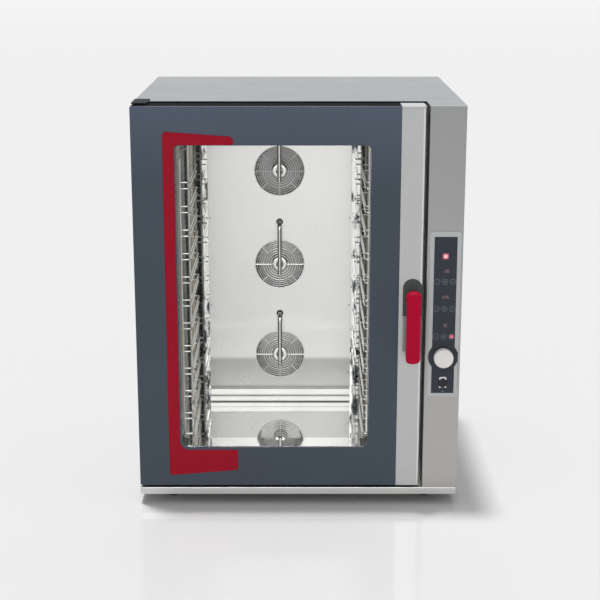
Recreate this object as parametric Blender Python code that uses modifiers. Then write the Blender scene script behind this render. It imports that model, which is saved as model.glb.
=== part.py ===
"""Combi steamer oven for eleven trays: cabinet, fan-driven cavity, hinged glass door and control column.

Metres, +Z up. The oven's front faces -Y and its controls are on the +X side.
The origin is on the floor, at the centre of the whole oven's footprint.
"""

from math import cos, pi, radians, sin, sqrt

import bmesh
import bpy
from mathutils import Matrix, Vector

# Whole oven
WIDTH = 0.930
FRONT = -0.365  # front plane of the door glass and the control column
REAR = 0.400  # outer face of the back panel
REACH = 0.4125  # furthest that the handle reaches forward, and the connectors back
ROOF_TOP = 1.177
TOP = 1.180  # top of the upper hinge plate
GAP = 0.0003  # left between pieces that touch
SHEET = 0.0015
PLATE = 0.002

# Base and feet
BASE_BOTTOM = 0.030
BASE_TOP = 0.051
FOOT_X = 0.375
FOOT_Y = 0.285

# Cabinet
SIDE = WIDTH / 2
CASE_FRONT = -0.282  # front plane of the frame behind the door
ROOF_FRONT = -0.262  # the roof's front edge, set back behind the door
SKIRT = 0.014  # depth of the roof's folded edge
COLUMN_LEFT = 0.363  # left side of the control column
FASCIA_RETURN = 0.020
FLANGE = 0.015

# Cavity
CAVITY_X = -0.060
CAVITY_HALF = 0.300
CAVITY_FLOOR = 0.163
CAVITY_CEILING = 1.054
CAVITY_MOUTH = -0.268
CAVITY_BACK = 0.165
MOUTH_FLANGE = 0.025
JACKET = 0.030
JACKET_FLOOR = 0.025

# Fans behind the baffle
BAFFLE_Y = 0.085
BAFFLE_HALF = 0.226
BAFFLE_BOTTOM = 0.2035  # top of the two steps below the baffle
LEDGE_MIDDLE = 0.182
LEDGE_BOTTOM = CAVITY_FLOOR + GAP
LEDGE_DEPTHS = (0.018, 0.0295)  # how far each step stands in front of the baffle
BAFFLE_TOP = 1.048
FAN_X = -0.059
FAN_PITCH = 0.2997
FAN_LOW = 0.3157
FAN_LEVELS = {"bottom": FAN_LOW, "middle": FAN_LOW + FAN_PITCH, "top": FAN_LOW + 2 * FAN_PITCH}
GUARD_RADIUS = 0.083
WHEEL_RADIUS = 0.105
WHEEL_BACK = 0.146
SHAFT_RADIUS = 0.008
HEATER_RADIUS = 0.125
PIPE_RISES = {"bottom": 0.137, "middle": 0.137, "top": 0.114}  # steam tube's elbow above the fan's centre
PIPE_DROP = 0.029  # its open end below the centre

# Racks
RACK_LEVELS = 11
RACK_PITCH = 0.0701
RACK_LOW = 0.239  # upper wire of the lowest pair
PAIR_DROP = 0.018
RUNNER_HALF = 0.2555
UPRIGHT_HALF = 0.278
UPRIGHT_SIZE = 0.007
UPRIGHT_BOTTOM = 0.168
UPRIGHT_TOP = 1.010
RACK_FRONT = -0.247
RACK_REAR = 0.053
WIRE = 0.0024

# Door
DOOR_LEFT = -0.464
DOOR_SPLIT = 0.2855  # where the glass ends and the steel profile starts
DOOR_RIGHT = 0.354
DOOR_BOTTOM = 0.058
DOOR_TOP = 1.1745
DOOR_BACK = -0.288
GLASS = 0.006
INNER_GLASS = 0.005
WINDOW_LEFT = -0.344
WINDOW_RIGHT = 0.204
WINDOW_BOTTOM = 0.176
WINDOW_TOP = 1.067
HINGE_X = -0.452
HINGE_Y = -0.312
PIN_RADIUS = 0.005
PIN_DEPTH = 0.030

# Handle and latch
HANDLE_X = 0.3255
HANDLE_Z = 0.630
GRIP_HALF = 0.0205
GRIP_TOP = 0.658
GRIP_BOTTOM = 0.445
GRIP_BACK = -0.392
SPINDLE = 0.006
SLOT_HALF = 0.0115
SLOT_REACH = 0.034
STRIKER = 0.003

# Control column
BEZEL = (0.370, 0.334, 0.459, 0.822)
OVERLAY = (0.3835, 0.345, 0.4475, 0.807)
PANEL_X = 0.4155
KNOB_Z = 0.454
KNOB_RADIUS = 0.028
KNOB_RING = 0.043
BUTTON_Z = 0.375
BUTTON_RADIUS = 0.0115
DISPLAY_LEVELS = (0.548, 0.632, 0.708)

# Rear services
DRAIN_Y = 0.125  # behind the baffle
DRAIN_Z = 0.0505
DRAIN_RADIUS = 0.015
DRAIN_BORE = 0.0125
VENT_X = 0.203
VENT_Z = 1.026
VENT_RADIUS = 0.025
VENT_BORE = 0.0235
FLAP_Y = 0.300
INLET_X = 0.330
GLAND_X = 0.400
SERVICE_Z = 0.120
COOLER_X = 0.365
COOLER_Z = 0.300
COOLER_BORE = 0.042

ROUND = 20  # sides of a round piece
FINE = 24


# ---- scene, materials and basic shapes ----

def clear_scene():
    for item in list(bpy.data.objects):
        bpy.data.objects.remove(item, do_unlink=True)


def collection(name):
    group = bpy.data.collections.new(name)
    bpy.context.scene.collection.children.link(group)
    return group


clear_scene()
PARTS = collection("combi_steamer_oven")
CUTTERS = collection("cutters")
CUTTERS.hide_render = True
MATERIALS = {}


def material(name, colour, roughness, metallic=0.0, alpha=1.0):
    made = bpy.data.materials.new(name)
    made.use_nodes = True
    shader = made.node_tree.nodes["Principled BSDF"]
    shader.inputs["Base Color"].default_value = (*colour, 1.0)
    shader.inputs["Roughness"].default_value = roughness
    shader.inputs["Metallic"].default_value = metallic
    shader.inputs["Alpha"].default_value = alpha
    made.diffuse_color = (*colour, alpha)
    MATERIALS[name] = made


material("brushed_steel", (0.46, 0.46, 0.45), 0.38, 1.0)
material("column_steel", (0.34, 0.34, 0.33), 0.42, 1.0)
material("mirror_steel", (0.62, 0.61, 0.60), 0.12, 1.0)
material("galvanised_steel", (0.42, 0.44, 0.45), 0.50, 1.0)
material("wire_steel", (0.60, 0.59, 0.57), 0.22, 1.0)
material("heater_steel", (0.22, 0.20, 0.18), 0.45, 1.0)
material("mineral_wool", (0.55, 0.50, 0.38), 0.95)
material("silicone", (0.030, 0.030, 0.032), 0.60)
material("printed_glass", (0.065, 0.078, 0.100), 0.08, 0.0, 0.45)
material("clear_glass", (0.80, 0.84, 0.84), 0.03, 0.0, 0.25)
material("door_black", (0.030, 0.034, 0.040), 0.45)
material("plate_grey", (0.090, 0.100, 0.100), 0.40)
material("lever_red", (0.360, 0.007, 0.026), 0.30)
material("bezel_grey", (0.35, 0.37, 0.38), 0.40)
material("overlay_black", (0.034, 0.043, 0.050), 0.25)
material("board_green", (0.020, 0.110, 0.050), 0.50)
material("knob_grey", (0.66, 0.65, 0.62), 0.35)
material("button_black", (0.018, 0.018, 0.020), 0.40)
material("cap_grey", (0.50, 0.51, 0.50), 0.40)
material("fan_black", (0.040, 0.040, 0.042), 0.50)
material("motor_grey", (0.16, 0.17, 0.18), 0.45)
material("foot_rubber", (0.025, 0.025, 0.027), 0.70)


def place(item, name, slot):
    """Files the object under the oven as the piece called name, with its own material."""
    item.name = name
    item.data.name = name
    item.data.materials.clear()
    item.data.materials.append(MATERIALS[slot])
    PARTS.objects.link(item)
    return item


def cutter(item, name):
    item.name = name
    item.hide_render = True
    item.display_type = "WIRE"
    CUTTERS.objects.link(item)
    return item


def mesh_object(shape):
    """An unfiled object from a bmesh."""
    mesh = bpy.data.meshes.new("mesh")
    bmesh.ops.recalc_face_normals(shape, faces=shape.faces)
    shape.to_mesh(mesh)
    shape.free()
    return bpy.data.objects.new("shape", mesh)


def block(low, high):
    """A box between two corners, with its origin at its centre."""
    low, high = Vector(low), Vector(high)
    shape = bmesh.new()
    bmesh.ops.create_cube(shape, size=1.0)
    bmesh.ops.scale(shape, vec=high - low, verts=shape.verts)
    item = mesh_object(shape)
    item.location = (low + high) / 2
    return item


def rod(radius, start, end, sides=ROUND):
    """A closed cylinder from start to end."""
    start, end = Vector(start), Vector(end)
    run = end - start
    shape = bmesh.new()
    bmesh.ops.create_cone(
        shape, cap_ends=True, segments=sides, radius1=radius, radius2=radius, depth=run.length
    )
    item = mesh_object(shape)
    item.rotation_mode = "QUATERNION"
    item.rotation_quaternion = run.to_track_quat("Z", "Y")
    item.location = (start + end) / 2
    item.data.shade_smooth()
    item.data.set_sharp_from_angle(angle=radians(40))
    return item


def evaluated_copy(item):
    """The object's evaluated mesh as a new unfiled object, with the caps of a curve welded on."""
    bpy.context.scene.collection.objects.link(item)
    bpy.context.view_layer.update()
    graph = bpy.context.evaluated_depsgraph_get()
    mesh = bpy.data.meshes.new_from_object(item.evaluated_get(graph))
    shape = bmesh.new()
    shape.from_mesh(mesh)
    bmesh.ops.remove_doubles(shape, verts=shape.verts, dist=1e-6)
    bmesh.ops.recalc_face_normals(shape, faces=shape.faces)
    shape.to_mesh(mesh)
    shape.free()
    made = bpy.data.objects.new("shape", mesh)
    made.matrix_world = item.matrix_world.copy()
    bpy.data.objects.remove(item, do_unlink=True)
    return made


def outline_curve(outlines, thickness):
    """A flat plate, centred on its own XY plane: the first outline less the others."""
    curve = bpy.data.curves.new("outline", "CURVE")
    curve.dimensions = "2D"
    curve.fill_mode = "BOTH"
    curve.extrude = thickness / 2
    for points in outlines:
        spline = curve.splines.new("POLY")
        spline.points.add(len(points) - 1)
        for spot, (x, y) in zip(spline.points, points):
            spot.co = (x, y, 0.0, 1.0)
        spline.use_cyclic_u = True
    return bpy.data.objects.new("outline", curve)


def front_plate(outlines, front, thickness):
    """A plate facing -Y. Its outlines are (x, z) points and front is its front face."""
    item = outline_curve(outlines, thickness)
    item.rotation_euler = (pi / 2, 0.0, 0.0)
    item.location = (0.0, front + thickness / 2, 0.0)
    return evaluated_copy(item)


def level_plate(outlines, bottom, thickness):
    """A plate facing up. Its outlines are (x, y) points and bottom is its lower face."""
    item = outline_curve(outlines, thickness)
    item.location = (0.0, 0.0, bottom + thickness / 2)
    return evaluated_copy(item)


def side_plate(outlines, left, thickness):
    """A plate facing sideways. Its outlines are (y, z) points and left is its low face in X."""
    item = outline_curve(outlines, thickness)
    item.rotation_euler = (pi / 2, 0.0, pi / 2)
    item.location = (left + thickness / 2, 0.0, 0.0)
    return evaluated_copy(item)


def turned(profile, centre, sides=ROUND, axis="Y"):
    """A turned piece. The profile is (radius, distance along the axis) and closes on the axis."""
    shape = bmesh.new()
    spots = [shape.verts.new((radius, 0.0, along)) for radius, along in profile]
    for first, second in zip(spots, spots[1:]):
        shape.edges.new((first, second))
    mesh = bpy.data.meshes.new("profile")
    shape.to_mesh(mesh)
    shape.free()
    item = bpy.data.objects.new("turned", mesh)
    spin = item.modifiers.new("spin", "SCREW")
    spin.steps = sides
    spin.render_steps = sides
    spin.use_merge_vertices = True
    spin.merge_threshold = 1e-5
    if axis == "Y":
        item.rotation_euler = (-pi / 2, 0.0, 0.0)
    item.location = centre
    made = evaluated_copy(item)
    made.data.shade_smooth()
    made.data.set_sharp_from_angle(angle=radians(35))
    return made


def wire(points, radius, resolution=2, closed=False):
    """A round wire along straight runs between points."""
    curve = bpy.data.curves.new("wire", "CURVE")
    curve.dimensions = "3D"
    curve.bevel_depth = radius
    curve.bevel_resolution = resolution
    curve.use_fill_caps = True
    spline = curve.splines.new("POLY")
    spline.points.add(len(points) - 1)
    for spot, place_of in zip(spline.points, points):
        spot.co = (*place_of, 1.0)
    spline.use_cyclic_u = closed
    return evaluated_copy(bpy.data.objects.new("wire", curve))


def bundle(*items):
    """Several separate shapes as one unfiled object."""
    shape = bmesh.new()
    for item in items:
        mesh = item.data.copy()
        mesh.transform(item.matrix_basis)
        shape.from_mesh(mesh)
        bpy.data.meshes.remove(mesh)
        bpy.data.objects.remove(item, do_unlink=True)
    return mesh_object(shape)


def boolean(item, others, operation):
    """The item with the others joined to it or cut from it."""
    bpy.context.scene.collection.objects.link(item)
    for number, other in enumerate(others):
        cutter(other, f"{operation.lower()}_{len(CUTTERS.objects):03d}")
        step = item.modifiers.new(f"{operation.lower()}_{number}", "BOOLEAN")
        step.operation = operation
        step.object = other
        step.solver = "EXACT"
    bpy.context.scene.collection.objects.unlink(item)
    made = evaluated_copy(item)
    for other in others:
        bpy.data.objects.remove(other, do_unlink=True)
    return made


def join(item, *others):
    return boolean(item, list(others), "UNION")


def cut(item, *others):
    return boolean(item, list(others), "DIFFERENCE")


def soften(item, width, segments=2):
    """Rounds the item's sharp edges."""
    bevel = item.modifiers.new("soften", "BEVEL")
    bevel.width = width
    bevel.segments = segments
    bevel.limit_method = "ANGLE"
    bevel.angle_limit = radians(50)
    item.data.shade_smooth()
    item.data.set_sharp_from_angle(angle=radians(50))
    return item


def set_origin(item, spot):
    """Moves the object's origin to spot and leaves its shape where it is."""
    shift = Matrix.Translation(spot)
    item.data.transform(shift.inverted() @ item.matrix_basis)
    item.matrix_world = shift
    return item


# ---- outlines ----

def arc(x, z, radius, start, end, steps):
    """Points on an arc, with angles in degrees."""
    sweep = [radians(start + (end - start) * step / steps) for step in range(steps + 1)]
    return [(x + radius * cos(angle), z + radius * sin(angle)) for angle in sweep]


def circle(x, z, radius, sides=ROUND):
    return arc(x, z, radius, 0, 360, sides)[:-1]


def oblong(left, bottom, right, top, radius=0.0, steps=3):
    """A rectangle with rounded corners."""
    if not radius:
        return [(left, bottom), (right, bottom), (right, top), (left, top)]
    return (
        arc(left + radius, bottom + radius, radius, 180, 270, steps)
        + arc(right - radius, bottom + radius, radius, 270, 360, steps)
        + arc(right - radius, top - radius, radius, 0, 90, steps)
        + arc(left + radius, top - radius, radius, 90, 180, steps)
    )


def overlay_outline(grow):
    """The control overlay, which widens to a circle around the knob."""
    left, bottom, right, top = OVERLAY
    left, bottom, right, top = left - grow, bottom - grow, right + grow, top + grow
    ring = KNOB_RING + grow
    half = (right - left) / 2
    rise = sqrt(ring**2 - half**2)
    turn = 90 - 180 * (pi / 2 - Vector((half, rise)).angle(Vector((0.0, 1.0)))) / pi
    lift = 90 - turn
    steps = 8
    return (
        [(left, bottom), (right, bottom)]
        + arc(PANEL_X, KNOB_Z, ring, -lift, lift, steps)
        + [(right, top), (left, top)]
        + arc(PANEL_X, KNOB_Z, ring, 180 - lift, 180 + lift, steps)
    )


def strip_outline(points, thickness):
    """A strip of sheet that follows the points, with its thickness to their left."""
    spots = [Vector(point) for point in points]
    inner = []
    for index, spot in enumerate(spots):
        sides = []
        if index > 0:
            sides.append((spot - spots[index - 1]).normalized())
        if index < len(spots) - 1:
            sides.append((spots[index + 1] - spot).normalized())
        normals = [Vector((-side.y, side.x)) for side in sides]
        total = sum(normals, Vector((0.0, 0.0)))
        inner.append(spot + total * thickness / total.dot(normals[0]))
    return [tuple(spot) for spot in spots] + [tuple(spot) for spot in reversed(inner)]


# ---- cabinet ----

def base_frame():
    floor = block((-SIDE, FRONT, BASE_BOTTOM), (SIDE, REAR, BASE_BOTTOM + PLATE))
    rim_path = [(-SIDE, REAR), (-SIDE, FRONT), (SIDE, FRONT), (SIDE, REAR)]
    rim = level_plate([strip_outline(rim_path, PLATE)], BASE_BOTTOM, BASE_TOP - BASE_BOTTOM)
    place(join(floor, rim), "base_frame", "brushed_steel")


def feet():
    profile = [
        (0.0, BASE_BOTTOM - GAP),
        (0.010, BASE_BOTTOM - GAP),
        (0.010, 0.012),
        (0.024, 0.009),
        (0.024, 0.0),
        (0.0, 0.0),
    ]
    for depth, y in (("front", -FOOT_Y), ("rear", FOOT_Y)):
        for side, x in (("left", -FOOT_X), ("right", FOOT_X)):
            foot = turned(profile, (x, y, 0.0), 16, axis="Z")
            place(foot, f"foot_{depth}_{side}", "foot_rubber")


def roof_panel():
    """A lid over the cabinet and the control column, folded down all round but over the column's front."""
    plan = [
        (-SIDE, ROOF_FRONT),
        (COLUMN_LEFT, ROOF_FRONT),
        (COLUMN_LEFT, FRONT),
        (SIDE, FRONT),
        (SIDE, REAR),
        (-SIDE, REAR),
    ]
    lid = level_plate([plan], ROOF_TOP - SHEET, SHEET)
    column_back = FRONT + FASCIA_RETURN
    path = [
        (COLUMN_LEFT - GAP, ROOF_FRONT),
        (-SIDE, ROOF_FRONT),
        (-SIDE, REAR),
        (SIDE, REAR),
        (SIDE, column_back),
    ]
    skirt = level_plate([strip_outline(path[::-1], SHEET)], ROOF_TOP - SKIRT, SKIRT - SHEET / 2)
    place(join(lid, skirt), "roof_panel", "brushed_steel")


def side_panels():
    """Side sheets with a folded edge at the front and at the back."""
    bottom = BASE_TOP + GAP
    height = ROOF_TOP - SKIRT - GAP - bottom
    back = REAR - SHEET - 2 * GAP
    frame_back = CASE_FRONT + PLATE + GAP
    left_path = [
        (-SIDE + FLANGE, back),
        (-SIDE, back),
        (-SIDE, frame_back),
        (-SIDE + FLANGE, frame_back),
    ]
    left = level_plate([strip_outline(left_path, SHEET)], bottom, height)
    place(left, "left_side_panel", "brushed_steel")
    column_back = FRONT + FASCIA_RETURN + GAP
    right_path = [
        (SIDE - FLANGE, column_back),
        (SIDE, column_back),
        (SIDE, back),
        (SIDE - FLANGE, back),
    ]
    right = level_plate([strip_outline(right_path, SHEET)], bottom, height)
    place(right, "right_side_panel", "brushed_steel")


def back_panel():
    bottom = BASE_BOTTOM + PLATE + GAP
    top = ROOF_TOP - SKIRT - GAP
    side = SIDE - PLATE - GAP
    outlines = [
        oblong(-side, bottom, side, top),
        circle(CAVITY_X, DRAIN_Z, DRAIN_RADIUS + 2 * GAP),
        circle(VENT_X, VENT_Z, VENT_RADIUS + 2 * GAP),
        circle(INLET_X, SERVICE_Z, 0.0138),
        circle(GLAND_X, SERVICE_Z, 0.0108),
        circle(COOLER_X, COOLER_Z, COOLER_BORE),
    ]
    place(front_plate(outlines, REAR - SHEET, SHEET), "back_panel", "galvanised_steel")


def front_frame():
    """The sheet around the cavity's mouth, with the latch's slot and a fold back under the roof."""
    bottom = BASE_BOTTOM + PLATE + GAP
    top = ROOF_TOP - SKIRT - GAP
    left = -SIDE + PLATE + GAP
    margin = 0.018
    slot = SLOT_HALF + 0.004
    outlines = [
        oblong(left, bottom, COLUMN_LEFT - GAP, top),
        oblong(
            CAVITY_X - CAVITY_HALF - margin,
            CAVITY_FLOOR - margin,
            CAVITY_X + CAVITY_HALF + margin,
            CAVITY_CEILING + margin,
            0.020,
        ),
        oblong(HANDLE_X - slot, HANDLE_Z - SLOT_REACH - 0.004, HANDLE_X + slot, HANDLE_Z + slot),
    ]
    fold = block(
        (-SIDE + FLANGE + GAP, CASE_FRONT + PLATE / 2, top - PLATE),
        (COLUMN_LEFT - GAP, ROOF_FRONT + 0.004, top),
    )
    frame = join(front_plate(outlines, CASE_FRONT, PLATE), fold)
    place(frame, "front_frame", "brushed_steel")


def control_fascia():
    """The column's front, folded back to the frame on the door side and to the side panel."""
    path = [
        (SIDE, FRONT + FASCIA_RETURN),
        (SIDE, FRONT),
        (COLUMN_LEFT, FRONT),
        (COLUMN_LEFT, ROOF_FRONT - GAP),
    ]
    bottom = BASE_TOP + GAP
    shell = level_plate([strip_outline(path[::-1], SHEET)], bottom, ROOF_TOP - SHEET - GAP - bottom)
    left, low, right, high = OVERLAY
    inset = 0.003
    window = block(
        (left + inset, FRONT - 0.01, low + inset), (right - inset, FRONT + 0.01, high - inset)
    )
    place(cut(shell, window), "control_fascia", "column_steel")


# ---- cavity ----

def cavity_liner():
    left, right = CAVITY_X - CAVITY_HALF, CAVITY_X + CAVITY_HALF
    outer = block(
        (left - PLATE, CAVITY_MOUTH, CAVITY_FLOOR - PLATE),
        (right + PLATE, CAVITY_BACK + PLATE, CAVITY_CEILING + PLATE),
    )
    flange = block(
        (left - MOUTH_FLANGE, CAVITY_MOUTH, CAVITY_FLOOR - MOUTH_FLANGE),
        (right + MOUTH_FLANGE, CAVITY_MOUTH + PLATE, CAVITY_CEILING + MOUTH_FLANGE),
    )
    hollow = block(
        (left, CAVITY_MOUTH - 0.02, CAVITY_FLOOR), (right, CAVITY_BACK, CAVITY_CEILING)
    )
    wall = (CAVITY_BACK - 0.01, CAVITY_BACK + 0.01)
    shafts = [
        rod(SHAFT_RADIUS + 0.0015, (FAN_X, wall[0], z), (FAN_X, wall[1], z), 12)
        for z in FAN_LEVELS.values()
    ]
    vent = rod(VENT_RADIUS + GAP, (VENT_X, wall[0], VENT_Z), (VENT_X, wall[1], VENT_Z))
    drain = rod(
        DRAIN_BORE,
        (CAVITY_X, DRAIN_Y, CAVITY_FLOOR - 0.01),
        (CAVITY_X, DRAIN_Y, CAVITY_FLOOR + 0.01),
    )
    shell = cut(join(outer, flange), hollow, vent, drain, *shafts)
    place(shell, "cavity_liner", "mirror_steel")


def insulation_jacket():
    left, right = CAVITY_X - CAVITY_HALF - PLATE, CAVITY_X + CAVITY_HALF + PLATE
    mouth = CAVITY_MOUTH + PLATE + GAP
    back = CAVITY_BACK + PLATE
    floor, ceiling = CAVITY_FLOOR - PLATE, CAVITY_CEILING + PLATE
    wool = block(
        (left - JACKET, mouth, floor - JACKET_FLOOR), (right + JACKET, back + JACKET, ceiling + JACKET)
    )
    hollow = block((left - GAP, mouth - 0.02, floor - GAP), (right + GAP, back + GAP, ceiling + GAP))
    bosses = [
        rod(0.031, (FAN_X, back - 0.01, z), (FAN_X, back + JACKET + 0.01, z), 16)
        for z in FAN_LEVELS.values()
    ]
    vent = rod(
        VENT_RADIUS + 2 * GAP, (VENT_X, back - 0.01, VENT_Z), (VENT_X, back + JACKET + 0.01, VENT_Z)
    )
    drain = rod(
        DRAIN_RADIUS + 2 * GAP,
        (CAVITY_X, DRAIN_Y, floor - JACKET_FLOOR - 0.01),
        (CAVITY_X, DRAIN_Y, floor + 0.01),
    )
    place(cut(wool, hollow, vent, drain, *bosses), "insulation_jacket", "mineral_wool")


def door_seal():
    """The gasket round the cavity's mouth, seated on the liner's flange."""
    inner, outer, radius = 0.002, 0.016, 0.018
    rings = [
        oblong(
            CAVITY_X - CAVITY_HALF - grow,
            CAVITY_FLOOR - grow,
            CAVITY_X + CAVITY_HALF + grow,
            CAVITY_CEILING + grow,
            radius,
        )
        for grow in (outer, inner)
    ]
    front = DOOR_BACK + GAP
    place(front_plate(rings, front, CAVITY_MOUTH - GAP - front), "door_seal", "silicone")


def fan_baffle():
    """The upright sheet in front of the fans, its sides folded back to the cavity's wall."""
    left, right = FAN_X - BAFFLE_HALF, FAN_X + BAFFLE_HALF
    outlines = [oblong(left, BAFFLE_BOTTOM + GAP, right, BAFFLE_TOP)]
    for level, z in FAN_LEVELS.items():
        outlines.append(circle(FAN_X, z, GUARD_RADIUS - 0.007, FINE))
        outlines.append(circle(FAN_X, z + PIPE_RISES[level], 0.011, 12))
    sheet = front_plate(outlines, BAFFLE_Y, SHEET)
    bottom, depth = BAFFLE_BOTTOM + 0.003, CAVITY_BACK - GAP
    folds = [
        block((x, BAFFLE_Y + SHEET / 2, bottom), (x + SHEET, depth, BAFFLE_TOP - 0.02))
        for x in (left + 0.001, right - SHEET - 0.001)
    ]
    windows = [
        block((x - 0.01, BAFFLE_Y + 0.012, z - 0.10), (x + 0.01, depth - 0.008, z + 0.10))
        for x in (left, right)
        for z in FAN_LEVELS.values()
    ]
    place(cut(join(sheet, *folds), *windows), "fan_baffle", "mirror_steel")


def baffle_foot():
    """A sheet folded into two steps between the baffle's lower edge and the cavity's floor."""
    upper, lower = (BAFFLE_Y - step for step in LEDGE_DEPTHS)
    path = [
        (BAFFLE_Y + 0.004, BAFFLE_BOTTOM),
        (upper, BAFFLE_BOTTOM),
        (upper, LEDGE_MIDDLE),
        (lower, LEDGE_MIDDLE),
        (lower, LEDGE_BOTTOM),
    ]
    width = 2 * BAFFLE_HALF - 0.002
    steps = side_plate([strip_outline(path, SHEET)], FAN_X - width / 2, width)
    place(steps, "baffle_foot", "mirror_steel")


def guard_outlines(z):
    """A round grille: two rows of slots between a rim, a middle ring and a hub."""
    outlines = [circle(FAN_X, z, GUARD_RADIUS, FINE)]
    rows = ((0.024, 0.048), (0.053, 0.077))
    slots = 6
    for inner, outer in rows:
        margin = 0.0025 / inner * 180 / pi
        for slot in range(slots):
            start = slot * 360 / slots + margin
            end = (slot + 1) * 360 / slots - margin
            outside = arc(FAN_X, z, outer, start, end, 3)
            inside = arc(FAN_X, z, inner, end, start, 3)
            outlines.append(outside + inside)
    return outlines


def fan_guard(level, z):
    thickness = 0.003
    guard = front_plate(guard_outlines(z), BAFFLE_Y - GAP - thickness, thickness)
    place(guard, f"fan_guard_{level}", "wire_steel")


def steam_pipe(level, z):
    """Runs forward through the baffle, bends down and ends before the middle of the fan."""
    radius, bend, steps = 0.0065, 0.022, 4
    front, top = BAFFLE_Y - 0.024, z + PIPE_RISES[level]
    elbow = arc(front + bend, top - bend, bend, 90, 180, steps)
    points = [(FAN_X, CAVITY_BACK - GAP, top)]
    points += [(FAN_X, y, height) for y, height in elbow]
    points.append((FAN_X, front, z - PIPE_DROP))
    place(wire(points, radius), f"steam_pipe_{level}", "mirror_steel")


def heater_ring(level, z):
    """An open ring of tube round the fan, with both legs bent back to the cavity's wall."""
    steps, half_gap = 20, 12
    centre_y = 0.130
    ring = arc(FAN_X, z, HEATER_RADIUS, -90 + half_gap, 270 - half_gap, steps)
    points = [(x, centre_y, height) for x, height in ring]
    ends = [(points[end][0], CAVITY_BACK - GAP, points[end][2]) for end in (0, -1)]
    place(wire([ends[0]] + points + [ends[1]], 0.0038, 1), f"heater_ring_{level}", "heater_steel")


def fan_motor(level, z):
    """A motor on the cavity's back wall, hollow where the fan's shaft enters."""
    wall = CAVITY_BACK + PLATE + GAP
    boss = CAVITY_BACK + PLATE + JACKET + GAP
    profile = [
        (0.0, 0.315),
        (0.030, 0.315),
        (0.034, 0.300),
        (0.052, 0.296),
        (0.055, boss + 0.004),
        (0.050, boss),
        (0.030, boss),
        (0.030, wall),
        (SHAFT_RADIUS + 0.001, wall),
        (SHAFT_RADIUS + 0.001, 0.232),
        (0.0, 0.232),
    ]
    motor = turned(profile, (FAN_X, 0.0, z), 16)
    place(motor, f"fan_motor_{level}", "motor_grey")


def fan_wheel(level, z):
    """Hub, back disc, shaft and straight blades, turning in front of the back wall."""
    hub, disc, blades = 0.018, 0.002, 8
    profile = [
        (0.0, 0.228),
        (SHAFT_RADIUS, 0.228),
        (SHAFT_RADIUS, WHEEL_BACK + disc),
        (WHEEL_RADIUS, WHEEL_BACK + disc),
        (WHEEL_RADIUS, WHEEL_BACK),
        (hub, WHEEL_BACK),
        (hub, 0.116),
        (0.010, 0.104),
        (0.0, 0.104),
    ]
    wheel = turned(profile, (FAN_X, 0.0, z), 16)
    fins = []
    for blade in range(blades):
        fin = block((0.042, 0.108, -0.001), (0.101, WHEEL_BACK + disc / 2, 0.001))
        turn = Matrix.Rotation(2 * pi * (blade + 0.5) / blades, 4, "Y")
        fin.matrix_world = Matrix.Translation((FAN_X, 0.0, z)) @ turn @ Matrix.Translation(fin.location)
        fins.append(fin)
    wheel = place(join(wheel, *fins), f"fan_wheel_{level}", "mirror_steel")
    set_origin(wheel, (FAN_X, WHEEL_BACK, z))


def rack(name, side):
    """A rack: two uprights, a pair of runner wires for each tray, a low rail and feet to the wall."""
    def across(half):
        return CAVITY_X + side * half

    upright_x = sorted((across(UPRIGHT_HALF), across(UPRIGHT_HALF + UPRIGHT_SIZE)))
    uprights = [
        block((upright_x[0], y - 0.005, UPRIGHT_BOTTOM), (upright_x[1], y + 0.005, UPRIGHT_TOP))
        for y in (RACK_FRONT, RACK_REAR)
    ]
    root = across(UPRIGHT_HALF + UPRIGHT_SIZE / 2)
    tip = across(RUNNER_HALF)

    def runner(z):
        points = [
            (root, RACK_FRONT, z),
            (tip, RACK_FRONT, z),
            (tip, RACK_REAR, z),
            (root, RACK_REAR, z),
        ]
        return wire(points, WIRE, 0)

    runners = []
    for level in range(RACK_LEVELS):
        upper = RACK_LOW + level * RACK_PITCH
        runners += [runner(upper), runner(upper - PAIR_DROP)]
    runners.append(runner(UPRIGHT_BOTTOM + 0.005))
    wall_x = sorted((root, across(CAVITY_HALF - GAP)))
    feet_to_wall = [
        block((wall_x[0], y - 0.004, z - 0.005), (wall_x[1], y + 0.004, z + 0.005))
        for y in (RACK_FRONT, RACK_REAR)
        for z in (UPRIGHT_BOTTOM + 0.03, UPRIGHT_TOP - 0.02)
    ]
    place(join(bundle(*uprights), bundle(*runners, *feet_to_wall)), name, "wire_steel")


def drain_filter():
    """A round strainer on the cavity's floor over the drain."""
    outlines = [circle(CAVITY_X, DRAIN_Y, 0.034, FINE)]
    holes = 6
    for hole in range(holes):
        angle = 2 * pi * hole / holes
        outlines.append(
            circle(CAVITY_X + 0.018 * cos(angle), DRAIN_Y + 0.018 * sin(angle), 0.005, 8)
        )
    place(level_plate(outlines, CAVITY_FLOOR + GAP, 0.003), "drain_filter", "mirror_steel")


def cavity_lamp():
    """A round lamp glass under the cavity's ceiling, near the mouth."""
    profile = [
        (0.0, 0.0),
        (0.034, 0.0),
        (0.034, -0.005),
        (0.027, -0.012),
        (0.0, -0.015),
    ]
    spot = (CAVITY_X + 0.18, -0.190, CAVITY_CEILING - GAP)
    place(turned(profile, spot, axis="Z"), "cavity_lamp", "clear_glass")


# ---- rear services ----

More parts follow.
